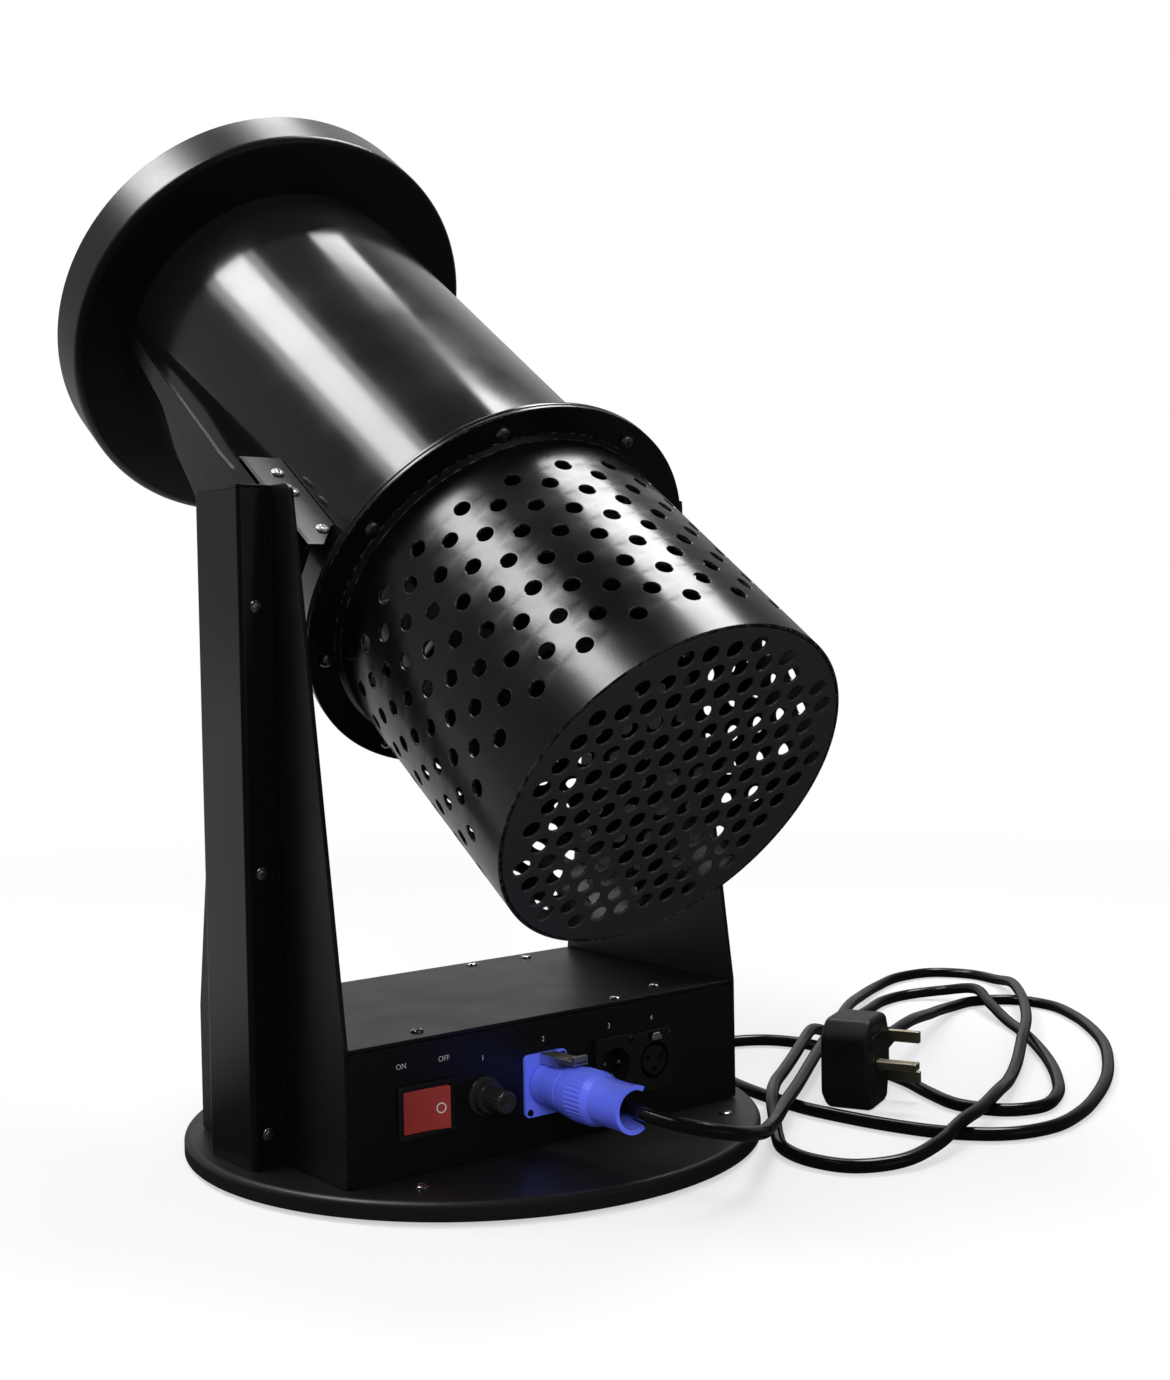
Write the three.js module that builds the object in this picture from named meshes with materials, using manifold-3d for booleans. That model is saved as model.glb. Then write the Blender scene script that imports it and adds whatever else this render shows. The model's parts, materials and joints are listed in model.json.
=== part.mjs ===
// A stage confetti blower: a fan in a perforated cage blows through a round barrel, and the
// barrel tilts between the two arms of a yoke that stands on a control box and a round base.
// Millimetres, +Z up. The control panel faces -Y and the tilt axis lies along X.
import * as THREE from "three";
import { mergeVertices } from "three/addons/utils/BufferGeometryUtils.js";
import Module from "manifold-3d";

const wasm = await Module();
wasm.setup();

// Clearances shared by the whole machine
const seatGap = 0.3; // between pieces that rest on each other
const runGap = 0.5; // between pieces that turn past each other
const overrun = 1; // how far a cut reaches past its wall
const weld = 1e-4; // points nearer than this are one point

// Facets round a circle
const wideSides = 32; // barrel and brim
const baseSides = 36;
const bodySides = 12; // connectors and motors
const shaftSides = 10; // tilt shafts and pulleys
const bushSides = 14; // bushes that a shaft turns in
const footSides = 8; // feet, fuse cap and the relief on the lead
const boltSides = 6;
const holeSides = 5; // the cage's and the grille's many holes

// Base plate and feet
const baseBeyond = 10.4; // past the yoke's covers
const baseSheet = 2;
const rimHeight = 9;
const rimRounding = 3;
const footDrop = 2.5; // the feet stand below the rim
const footRadius = 11;
const footInset = 22.7; // from the base's edge to each foot's middle

// Control box
const yokeClear = 10.8; // from the head's flange to each end of the box
const boxHalfDepth = 71;
const boxHeight = 64;
const boxSheet = 1.5;
const lidSheet = 2;
const lidSkirt = 8;

// Yoke arms and their covers
const armSheet = 2.5;
const armAbove = 24.5; // past the tilt axis
const armTopHalf = 33;
const armCorner = 5;
const coverWidth = 44;
const coverDepth = 18;
const coverSheet = 1.5;
const tabHeight = 12;
const tabShares = [0.052, 0.4345, 0.8228]; // up the arm's height

// Tilt axis
const pivotForward = 5;
const pivotHeight = 300; // above the base plate
const restTilt = 35.5; // degrees
const shaftRadius = 8;
const shaftBore = 4;
const shaftFlangeRadius = 20;
const shaftFlange = 3;
const bushWall = 3.7;
const bushFlangeRadius = 16;
const bushFlange = 1.8;
const bushReach = 2.5; // past the arm's outer face

// Tilt drive
const motorSide = 42;
const motorLength = 40;
const motorHeight = 36.5; // its shaft above the base plate
const motorCorner = 4;
const bossRadius = 11;
const bossHeight = 2;
const motorShaftRadius = 4;
const smallPulleyRadius = 7.5;
const pulleyRatio = 2;
const pulleyWidth = 10;
const pulleyFlange = 1.5;
const pulleyLip = 2;
const pulleySetIn = 3.6; // from the cover's outer face
const beltSheet = 1.6;

// Barrel
const barrelRadius = 91.5;
const barrelSheet = 1.8;
const barrelAhead = 228; // from the tilt axis to the brim
const flangeBehind = 43.4; // from the tilt axis to the flange
const flangeWide = 16.5; // past the barrel
const flangeSheet = 2.2;
const boltRadius = 2.5;
const boltHead = 3;
const boltNut = 4;
const boltKeyRadius = 4.6;
const boltInset = 9; // from the flange's edge
const boltPhase = 22.5; // degrees

// Brim round the muzzle
const brimWide = 32.5; // past the barrel
const brimDepth = 31;
const brimSheet = 2;
const brimRounding = 4;
const brimSpigot = 12;

// Intake cage and its end grille
const cageBehind = 207; // from the tilt axis to the grille
const cageStep = 0.5; // the cage is this much wider than the barrel
const cageSheet = 1.6;
const cageFacets = 42;
const cagePhase = 15.1; // degrees
const cageHole = 4; // radius
const ringPitch = 10.84;
const ringCount = 11;
const ringInset = 25; // from the cage's end to its last ring
const grilleSheet = 1.5;
const grilleRim = 7;
const grilleHole = 4.2; // radius
const grillePitch = 13.2;
const grilleBorder = 8; // plain edge round the holes
const grilleTwist = 10; // degrees
const grilleOff = [3, -1.5]; // one hole's place from the centre

// Side brackets
const bracketClear = 5.9; // to the arm
const bracketSheet = 2.5;
const bracketBack = 35; // behind the tilt axis
const bracketLong = 80; // of its shelf
const shelfHeight = 20;
const bracketDrop = 24;
const stayNeck = 11; // the stay's top edge where it leaves the shelf
const stayTipOut = 6.5; // its outer face at the brim, past the barrel
const stayTipRise = -1;
const stayTipHeight = 5;
const shelfChamfer = 13;

// Fan
const fanBehind = 25; // the impeller's middle
const hubRadius = 28;
const hubLength = 26;
const hubNose = 10;
const bladeCount = 7;
const tipGap = 4;
const rootChord = 30;
const tipChord = 46;
const rootPitch = 52; // degrees
const tipPitch = 27; // degrees
const bladeThick = 3;
const bladeThin = 1.8;
const stationShares = [0, 0.33, 0.67, 1]; // from the hub to the tip
const fanMotorRadius = 32;
const fanMotorLength = 55;
const fanBossRadius = 11;
const fanBoss = 3;
const fanShaftRadius = 4;
const fanShaftDepth = 8;
const mountWidth = 20;
const mountSheet = 2;
const spokeSheet = 3;
const spokeCount = 4;

// Control panel, measured from its centre line and from the base plate's top
const switchAcross = -78;
const switchUp = 30;
const bezelWidth = 32;
const bezelHeight = 26;
const bezelSheet = 2;
const bezelBorder = 2.7;
const bezelDepth = 17;
const bezelWall = 1.2;
const rockerWidth = 25;
const rockerHeight = 20.6;
const rockerAngle = 7; // degrees each way
const rockerProud = 2.2;
const rockerHub = 4;
const fuseAcross = -44.5;
const fuseUp = 30.5;
const fuseFlangeRadius = 9.5;
const fuseFlange = 2;
const fuseCollarRadius = 7.4;
const fuseCollar = 7;
const fuseBodyRadius = 6;
const fuseBodyDepth = 26;
const fuseCapRadius = 5.9;
const fuseCapReach = 20;
const fuseCapStem = 3.8;
const fuseSlot = 1.2;
const inletAcross = -8;
const inletUp = 30.5;
const socketWidth = 26;
const socketHeight = 31;
const socketSheet = 2;
const socketCorner = 2.5;
const socketBodyRadius = 11.8;
const socketBodyDepth = 24;
const inAcross = 36.5;
const inUp = 31;
const outAcross = 62.5;
const outUp = 30.5;
const shellRadius = 9.6;
const shellDepth = 12;
const pinRadius = 1.2;
const pinLength = 9;
const pinShares = [[-0.48, 0.16], [0.48, 0.16], [0, -0.5]]; // of the shell's radius
const insertRadius = 7.6;
const insertHoleRadius = 1.5;
const latchWidth = 7;
const latchHeight = 4;
const latchProud = 2.5;

// Blue mains connector in the inlet
const nosePlug = 10.2; // radius of its nose in the socket
const noseDepth = 10;
const plugBodyRadius = 10.6;
const plugBodyWide = 12;
const plugBodyLength = 20;
const collarRadius = 12.4;
const collarBulge = 13.3;
const collarLength = 25;
const forkLength = 24;
const forkWall = 2.4;
const forkRadius = 11.6;
const forkSlot = 13;
const plugLatchWidth = 9;
const plugLatchLength = 27;
const plugLatchSheet = 2.4;
const plugLatchLip = 2.5;

// Boxes inside the control box
const supplyHeight = 34;
const supplySheet = 1.5;
const supplyFrontRoom = 39; // behind the panel, for the sockets
const supplyBackRoom = 11;
const supplyMotorRoom = 15.5;
const supplyBoardRoom = 10.5;
const boardWidth = 52;
const boardSheet = 1.6;
const boardFrontRoom = 45;
const boardBackRoom = 13;
const boardEndRoom = 10.8;
const standoffHeight = 8;
const standoffRadius = 3;
const chipHeight = 9;
const blockShares = [[-0.45, 0.15, 0.2], [0.3, -0.35, 0.28], [0.2, 0.45, 0.16]]; // across, back, half width

// Mains lead
const cordRadius = 3.5;
const cordSides = 6;
const cordSteps = 100;
const cordBendShare = 26; // how many radii of length one radian of bend counts for
const plugPlace = [196, -92];
const plugHeading = 25; // degrees
const plugLong = 56;
const plugTall = 50;
const plugThick = 27;
const plugChamfer = 9;
const plugShoulder = 20;
const plugNeck = 11; // half its height where the lead leaves
const reliefLong = 32;
const reliefWide = 7;
const reliefRings = 3;
const reliefGroove = 0.9;
const bladeWide = 6.35;
const bladeSheet = 4;
const bladeReach = 17.7;
const earthWide = 8;
const earthReach = 22.7;
const bladeSpacing = 22.2;

// Sizes that follow from the ones above
const flangeRadius = barrelRadius + flangeWide;
const brimRadius = barrelRadius + brimWide;
const cageRadius = barrelRadius + cageStep;
const stayTip = barrelRadius + stayTipOut;
const boxHalfWidth = flangeRadius + yokeClear;
const armHeight = pivotHeight + armAbove;
const supplyDepth = 2 * boxHalfDepth - supplyFrontRoom - supplyBackRoom;
const supplyBack = (supplyFrontRoom - supplyBackRoom) / 2;
const boardDepth = 2 * boxHalfDepth - boardFrontRoom - boardBackRoom;
const boardBack = (boardFrontRoom - boardBackRoom) / 2;
const boardAcross = boxHalfWidth - boardEndRoom - boardWidth / 2;
const motorInner = boxHalfWidth - boxSheet - seatGap - motorLength;
const supplyLeft = supplyMotorRoom + supplySheet - motorInner;
const supplyRight = boardAcross - boardWidth / 2 - supplyBoardRoom - supplySheet;
const supplyWidth = supplyRight - supplyLeft;
const supplyAcross = (supplyRight + supplyLeft) / 2;
const baseTop = footDrop + rimHeight;
const boxTop = baseTop + boxHeight;
const panelFace = -boxHalfDepth;
const armInner = boxHalfWidth + seatGap;
const bracketFace = armInner - bracketClear;
const armOuter = armInner + armSheet;
const armTop = baseTop + armHeight;
const coverInner = armOuter + seatGap;
const coverOuter = armOuter + coverDepth;
const baseRadius = coverOuter + baseBeyond;
const footSpread = (baseRadius - footInset) * Math.SQRT1_2; // from both centre lines
const pivotZ = baseTop + pivotHeight;
const motorZ = baseTop + motorHeight;
const pulleyOuter = coverOuter - pulleySetIn;
const pulleyInner = pulleyOuter - pulleyWidth;
const largePulleyRadius = smallPulleyRadius * pulleyRatio;
const bushBore = shaftRadius + seatGap;
const bushRadius = shaftRadius + seatGap + bushWall;
const flangeFace = -flangeBehind;
const cageFlangeFace = flangeFace - flangeSheet - seatGap;
const boltCircle = flangeRadius - boltInset;
const barrelBore = barrelRadius - barrelSheet;
const shelfFront = bracketLong - bracketBack;
const shaftStart = bracketFace + seatGap;

// Geometry helpers

// A closed geometry as a solid, whichever way its faces were wound.
function solid(geometry) {
  const source = geometry.index ? geometry.toNonIndexed() : geometry;
  const bare = new THREE.BufferGeometry();
  bare.setAttribute("position", source.getAttribute("position"));
  const merged = mergeVertices(bare, weld);
  const corners = merged.index.array;
  const kept = [];
  for (let i = 0; i < corners.length; i += 3) {
    const [a, b, c] = [corners[i], corners[i + 1], corners[i + 2]];
    if (a !== b && b !== c && c !== a) kept.push(a, b, c);
  }
  const build = (triVerts) => {
    const mesh = new wasm.Mesh({
      numProp: 3,
      vertProperties: new Float32Array(merged.attributes.position.array),
      triVerts: new Uint32Array(triVerts),
    });
    mesh.merge();
    return new wasm.Manifold(mesh);
  };
  const made = build(kept);
  if (made.volume() > 0) return made;
  return build(kept.slice().reverse());
}

const join = (list) => list.reduce((whole, next) => whole.add(next));
const cut = (body, tools) => tools.reduce((left, tool) => left.subtract(tool), body);

// Turns geometry made about Y, or drawn in XY and pushed along Z, so that it lies along an axis.
const aboutAxis = {
  x: new THREE.Matrix4().makeRotationZ(-Math.PI / 2),
  y: new THREE.Matrix4(),
  z: new THREE.Matrix4().makeRotationX(Math.PI / 2),
};
const pushAxis = {
  x: new THREE.Matrix4().set(0, 0, 1, 0, 1, 0, 0, 0, 0, 1, 0, 0, 0, 0, 0, 1), // drawn in (y, z)
  y: new THREE.Matrix4().set(1, 0, 0, 0, 0, 0, 1, 0, 0, 1, 0, 0, 0, 0, 0, 1), // drawn in (x, z)
  z: new THREE.Matrix4(), // drawn in (x, y)
};

function box(x0, x1, y0, y1, z0, z1) {
  const made = new THREE.BoxGeometry(Math.abs(x1 - x0), Math.abs(y1 - y0), Math.abs(z1 - z0));
  return solid(made.translate((x0 + x1) / 2, (y0 + y1) / 2, (z0 + z1) / 2));
}

// A profile of [radius, place along the axis] turned about that axis.
function revolve(axis, profile, sides, place = [0, 0, 0], phase = 0) {
  const points = profile.map(([r, h]) => new THREE.Vector2(r, h));
  const [first, last] = [points[0], points[points.length - 1]];
  if (first.x > 0 || last.x > 0) points.push(first.clone());
  const made = new THREE.LatheGeometry(points, sides, phase);
  return solid(made.applyMatrix4(aboutAxis[axis]).translate(...place));
}

const rod = (axis, radius, from, to, sides, place, phase) =>
  revolve(axis, [[0, from], [radius, from], [radius, to], [0, to]], sides, place, phase);

function outline(points, holes = []) {
  const shape = new THREE.Shape(points.map(([a, b]) => new THREE.Vector2(a, b)));
  shape.holes = holes;
  return shape;
}

function roundedRect(a0, a1, b0, b1, r) {
  const shape = new THREE.Shape();
  shape.absarc(a1 - r, b1 - r, r, 0, Math.PI / 2);
  shape.absarc(a0 + r, b1 - r, r, Math.PI / 2, Math.PI);
  shape.absarc(a0 + r, b0 + r, r, Math.PI, Math.PI * 1.5);
  shape.absarc(a1 - r, b0 + r, r, Math.PI * 1.5, Math.PI * 2);
  return shape;
}

function push(axis, shape, from, to, curveSegments = 3) {
  const depth = Math.abs(to - from);
  const made = new THREE.ExtrudeGeometry(shape, { depth, bevelEnabled: false, curveSegments });
  made.translate(0, 0, Math.min(from, to));
  return solid(made.applyMatrix4(pushAxis[axis]));
}

// Closed rings of equally many points, skinned in order and capped at both ends.
function loft(rings) {
  const count = rings[0].length;
  const positions = rings.flat().flatMap((p) => [p.x, p.y, p.z]);
  const index = [];
  for (let r = 0; r + 1 < rings.length; r++)
    for (let i = 0; i < count; i++) {
      const [a, b] = [r * count + i, r * count + ((i + 1) % count)];
      index.push(a, b, b + count, a, b + count, a + count);
    }
  const lastRing = (rings.length - 1) * count;
  for (let i = 1; i + 1 < count; i++) {
    index.push(0, i + 1, i);
    index.push(lastRing, lastRing + i, lastRing + i + 1);
  }
  const made = new THREE.BufferGeometry();
  made.setAttribute("position", new THREE.Float32BufferAttribute(positions, 3));
  made.setIndex(index);
  return solid(made);
}

const ringAngles = (count, phase = 0) =>
  Array.from({ length: count }, (_, i) => THREE.MathUtils.degToRad(phase) + (i * Math.PI * 2) / count);

// Finishes and scene

const finish = {
  black: { color: 0x15161a, roughness: 0.38, metalness: 0.2 },
  sheen: { color: 0x1b1c21, roughness: 0.32, metalness: 0.25 },
  plastic: { color: 0x101114, roughness: 0.5, metalness: 0 },
  rubber: { color: 0x0c0c0d, roughness: 0.85, metalness: 0 },
  blue: { color: 0x4a5fd0, roughness: 0.42, metalness: 0 },
  red: { color: 0xb3262c, roughness: 0.35, metalness: 0 },
  nickel: { color: 0xb9b8b4, roughness: 0.3, metalness: 1 },
  steel: { color: 0x8d9095, roughness: 0.4, metalness: 0.9 },
  brass: { color: 0xc9a35a, roughness: 0.35, metalness: 1 },
  green: { color: 0x1f5b3a, roughness: 0.6, metalness: 0 },
};

const root = new THREE.Group();
const machine = new THREE.Group();
const head = new THREE.Group();
const lead = new THREE.Group();
root.add(machine, lead);
machine.add(head);

function piece(name, made, look, group = machine) {
  const { vertProperties, triVerts, numProp } = made.getMesh();
  const geometry = new THREE.BufferGeometry();
  const positions = new Float32Array((vertProperties.length / numProp) * 3);
  for (let i = 0, j = 0; i < vertProperties.length; i += numProp, j += 3)
    positions.set(vertProperties.subarray(i, i + 3), j);
  geometry.setAttribute("position", new THREE.BufferAttribute(positions, 3));
  geometry.setIndex(new THREE.BufferAttribute(new Uint32Array(triVerts), 1));
  geometry.computeVertexNormals();
  const mesh = new THREE.Mesh(geometry, new THREE.MeshStandardMaterial(finish[look]));
  mesh.name = name;
  group.add(mesh);
  return mesh;
}

const sides = [["left", -1], ["right", 1]];

// The same solid on the other side of the machine's middle plane.
function mirrored(made, hand) {
  if (hand > 0) return made;
  const { vertProperties, triVerts, numProp } = made.getMesh();
  const flipped = vertProperties.map((value, i) => (i % numProp ? value : -value));
  const source = { numProp, vertProperties: flipped, triVerts: triVerts.slice().reverse() };
  return new wasm.Manifold(new wasm.Mesh(source));
}

// Base

{
  const arc = [0, 45, 90].map((deg) => THREE.MathUtils.degToRad(deg));
  const edge = arc.map((a) => [
    baseRadius - rimRounding + rimRounding * Math.cos(a),
    baseTop - rimRounding + rimRounding * Math.sin(a),
  ]);
  const inner = baseRadius - baseSheet;
  const under = baseTop - baseSheet;
  piece(
    "base_plate",
    revolve(
      "z",
      [[0, under], [inner, under], [inner, footDrop], [baseRadius, footDrop], ...edge, [0, baseTop]],
      baseSides,
    ),
    "sheen",
  );
  const corners = [[-1, -1], [1, -1], [1, 1], [-1, 1]];
  corners.forEach(([a, b], i) => {
    const height = under - seatGap;
    const profile = [
      [0, 0],
      [footRadius * 0.86, 0],
      [footRadius, footRadius * 0.14],
      [footRadius, height],
      [0, height],
    ];
    piece(
      "foot_" + (i + 1),
      revolve("z", profile, footSides, [a * footSpread, b * footSpread, 0]),
      "rubber",
    );
  });
}

// Control box

const fuseHoleRadius = fuseBodyRadius + seatGap;
const socketHoleRadius = socketBodyRadius + seatGap;
const bezelBodyHalf = [bezelWidth / 2 - bezelBorder + bezelWall, bezelHeight / 2 - bezelBorder + bezelWall];
const [switchZ, fuseZ, inletZ, inZ, outZ] = [switchUp, fuseUp, inletUp, inUp, outUp].map(
  (up) => baseTop + up,
);

{
  const floor = baseTop + seatGap;
  const wallTop = boxTop - lidSheet - seatGap;
  const shell = box(-boxHalfWidth, boxHalfWidth, -boxHalfDepth, boxHalfDepth, floor, wallTop);
  const hollow = box(
    -boxHalfWidth + boxSheet,
    boxHalfWidth - boxSheet,
    -boxHalfDepth + boxSheet,
    boxHalfDepth - boxSheet,
    floor + boxSheet,
    wallTop + overrun,
  );
  const [front, back] = [panelFace - overrun, panelFace + boxSheet + overrun];
  const switchHole = box(
    switchAcross - bezelBodyHalf[0] - seatGap,
    switchAcross + bezelBodyHalf[0] + seatGap,
    front,
    back,
    switchZ - bezelBodyHalf[1] - seatGap,
    switchZ + bezelBodyHalf[1] + seatGap,
  );
  const roundHoles = [
    [fuseHoleRadius, fuseAcross, fuseZ],
    [socketHoleRadius, inletAcross, inletZ],
    [socketHoleRadius, inAcross, inZ],
    [socketHoleRadius, outAcross, outZ],
  ].map(([r, x, z]) => rod("y", r, front, back, bodySides, [x, 0, z]));
  const motorHole = rod(
    "x",
    bossRadius + seatGap,
    -boxHalfWidth - overrun,
    -boxHalfWidth + boxSheet + overrun,
    bodySides,
    [0, pivotForward, motorZ],
  );
  piece("control_box", cut(shell, [hollow, switchHole, ...roundHoles, motorHole]), "black");

  const skirtOut = boxHalfDepth - boxSheet - seatGap;
  const skirtEnd = boxHalfWidth - boxSheet - seatGap;
  const skirts = [-1, 1].map((hand) =>
    box(
      -skirtEnd,
      skirtEnd,
      hand * skirtOut,
      hand * (skirtOut - boxSheet),
      boxTop - lidSheet - lidSkirt,
      boxTop - lidSheet / 2,
    ),
  );
  const lid = box(-boxHalfWidth, boxHalfWidth, -boxHalfDepth, boxHalfDepth, boxTop - lidSheet, boxTop);
  piece("top_cover", join([lid, ...skirts]), "black");

  // Power supply: a tray with turned-up sides round its closed can.
  const supplyFloor = floor + boxSheet + seatGap;
  const [sx, sy] = [supplyWidth / 2, supplyDepth / 2];
  const tray = box(
    supplyAcross - sx - supplySheet,
    supplyAcross + sx + supplySheet,
    supplyBack - sy - supplySheet,
    supplyBack + sy + supplySheet,
    supplyFloor,
    supplyFloor + supplyHeight / 3,
  );
  const can = box(
    supplyAcross - sx,
    supplyAcross + sx,
    supplyBack - sy,
    supplyBack + sy,
    supplyFloor,
    supplyFloor + supplyHeight,
  );
  piece("power_supply", tray.add(can), "steel");

  // Control board on its four posts, with its relay block and its heat sink.
  const [bx, by] = [boardWidth / 2, boardDepth / 2];
  const boardZ = supplyFloor + standoffHeight;
  const board = box(
    boardAcross - bx,
    boardAcross + bx,
    boardBack - by,
    boardBack + by,
    boardZ,
    boardZ + boardSheet,
  );
  const posts = [[-1, -1], [1, -1], [1, 1], [-1, 1]].map(([a, b]) =>
    rod("z", standoffRadius, supplyFloor, boardZ + boardSheet / 2, boltSides, [
      boardAcross + a * (bx - 2 * standoffRadius),
      boardBack + b * (by - 2 * standoffRadius),
      0,
    ]),
  );
  const blocks = blockShares.map(([a, b, w]) =>
    box(
      boardAcross + (a - w) * bx,
      boardAcross + (a + w) * bx,
      boardBack + (b - w) * by,
      boardBack + (b + w) * by,
      boardZ + boardSheet / 2,
      boardZ + boardSheet + chipHeight,
    ),
  );
  piece("control_board", join([board, ...posts, ...blocks]), "green");
}

// Panel fittings

const flangeFront = panelFace - seatGap - socketSheet;

{
  // Switch frame: a flange on the panel and a tube behind it, open right through.
  const [hw, hh] = [bezelWidth / 2, bezelHeight / 2];
  const [ow, oh] = bezelBodyHalf;
  const [iw, ih] = [hw - bezelBorder, hh - bezelBorder];
  const face = panelFace - seatGap;
  const flange = push(
    "y",
    roundedRect(switchAcross - hw, switchAcross + hw, switchZ - hh, switchZ + hh, bezelBorder / 2),
    face - bezelSheet,
    face,
    2,
  );
  const tube = box(switchAcross - ow, switchAcross + ow, face - overrun, face + bezelDepth,
    switchZ - oh, switchZ + oh);
  const mouth = box(switchAcross - iw, switchAcross + iw, face - bezelSheet - overrun,
    face + bezelDepth - bezelWall, switchZ - ih, switchZ + ih);
  piece("switch_bezel", flange.add(tube).subtract(mouth), "plastic");

  // Rocker: a shallow V in front and a hub behind, pressed in at its left end.
  const half = rockerWidth / 2;
  const dip = half * Math.tan(THREE.MathUtils.degToRad(rockerAngle));
  const axisDepth = rockerHub + rockerProud;
  const profile = outline([
    [-half, -axisDepth - dip / 2],
    [0, -axisDepth + dip / 2],
    [half, -axisDepth - dip / 2],
    [half, -rockerHub / 2],
    [rockerHub, rockerHub],
    [-rockerHub, rockerHub],
    [-half, -rockerHub / 2],
  ]);
  const rocker = push("z", profile, -rockerHeight / 2, rockerHeight / 2);
  const mesh = piece("switch_rocker", rocker, "red");
  mesh.position.set(switchAcross, face - bezelSheet + axisDepth - rockerProud + dip / 2, switchZ);
  mesh.rotation.z = THREE.MathUtils.degToRad(-rockerAngle);

  // Fuse holder with its bayonet cap.
  const fusePlace = [fuseAcross, 0, fuseZ];
  const capBack = face - fuseCollar - seatGap;
  const stemEnd = face - fuseFlange;
  const holder = revolve(
    "y",
    [
      [0, face + fuseBodyDepth],
      [fuseBodyRadius, face + fuseBodyDepth],
      [fuseBodyRadius, face],
      [fuseFlangeRadius, face],
      [fuseFlangeRadius, face - fuseFlange * 0.6],
      [fuseFlangeRadius - fuseFlange * 0.4, face - fuseFlange],
      [fuseCollarRadius, face - fuseFlange],
      [fuseCollarRadius, face - fuseCollar],
      [fuseCapStem + seatGap, face - fuseCollar],
      [fuseCapStem + seatGap, stemEnd + seatGap],
      [0, stemEnd + seatGap],
    ],
    bodySides,
    fusePlace,
  );
  piece("fuse_holder", holder, "plastic");
  const capFront = panelFace - fuseCapReach;
  const cap = revolve(
    "y",
    [
      [0, capFront],
      [fuseCapRadius * 0.86, capFront],
      [fuseCapRadius, capFront + fuseCapRadius * 0.14],
      [fuseCapRadius, capBack],
      [fuseCapStem, capBack],
      [fuseCapStem, stemEnd],
      [0, stemEnd],
    ],
    footSides,
    fusePlace,
  );
  const slot = box(
    fuseAcross - fuseCapRadius * 0.7,
    fuseAcross + fuseCapRadius * 0.7,
    capFront - overrun,
    capFront + fuseSlot,
    fuseZ - fuseSlot / 2,
    fuseZ + fuseSlot / 2,
  );
  piece("fuse_cap", cap.subtract(slot), "plastic");
}

// A square connector flange with the round body behind it.
function chassisSocket(across, up) {
  const [hw, hh] = [socketWidth / 2, socketHeight / 2];
  const flange = push(
    "y",
    roundedRect(across - hw, across + hw, up - hh, up + hh, socketCorner),
    flangeFront,
    panelFace - seatGap,
  );
  const body = rod(
    "y",
    socketBodyRadius,
    flangeFront + socketSheet / 2,
    panelFace + socketBodyDepth,
    bodySides,
    [across, 0, up],
  );
  return flange.add(body);
}

{
  const bore = rod(
    "y",
    nosePlug + seatGap,
    flangeFront - overrun,
    flangeFront + noseDepth + seatGap,
    bodySides,
    [inletAcross, 0, inletZ],
  );
  piece("power_inlet", chassisSocket(inletAcross, inletZ).subtract(bore), "blue");

  const shellBack = flangeFront + shellDepth;
  const well = rod("y", shellRadius, flangeFront - overrun, shellBack, bodySides, [inAcross, 0, inZ]);
  const pins = pinShares.map(([a, b]) =>
    rod("y", pinRadius, shellBack - pinLength, shellBack + overrun, boltSides, [
      inAcross + a * shellRadius,
      0,
      inZ + b * shellRadius,
    ]),
  );
  piece("dmx_in", join([chassisSocket(inAcross, inZ).subtract(well), ...pins]), "plastic");

  // The socket's insert stands in its shell with a ring gap round it and three pin holes.
  const ring = revolve(
    "y",
    [
      [insertRadius, flangeFront - overrun],
      [shellRadius, flangeFront - overrun],
      [shellRadius, shellBack],
      [insertRadius, shellBack],
    ],
    bodySides,
    [outAcross, 0, outZ],
  );
  const pinHoles = pinShares.map(([a, b]) =>
    rod("y", insertHoleRadius, flangeFront - overrun, shellBack, boltSides, [
      outAcross + a * shellRadius,
      0,
      outZ + b * shellRadius,
    ]),
  );
  const latchBottom = outZ + shellRadius + latchHeight * 0.25;
  const latchSlot = box(
    outAcross - latchWidth / 2 - seatGap,
    outAcross + latchWidth / 2 + seatGap,
    flangeFront - overrun,
    flangeFront + socketSheet - seatGap,
    latchBottom - seatGap,
    latchBottom + latchHeight + seatGap,
  );
  piece(
    "dmx_out",
    cut(chassisSocket(outAcross, outZ), [ring, ...pinHoles, latchSlot]),
    "plastic",
  );
  const latch = push(
    "y",
    roundedRect(
      outAcross - latchWidth / 2,
      outAcross + latchWidth / 2,
      latchBottom,
      latchBottom + latchHeight,
      latchHeight / 4,
    ),
    flangeFront - latchProud,
    flangeFront - seatGap,
    2,
  );
  piece("dmx_out_latch", latch, "nickel");
}

// Blue mains connector

const plugFront = flangeFront - seatGap; // where its body meets the inlet's flange
const collarStart = plugFront - plugBodyLength - seatGap;
const collarEnd = collarStart - collarLength;
const forkEnd = collarEnd - forkLength;

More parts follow.
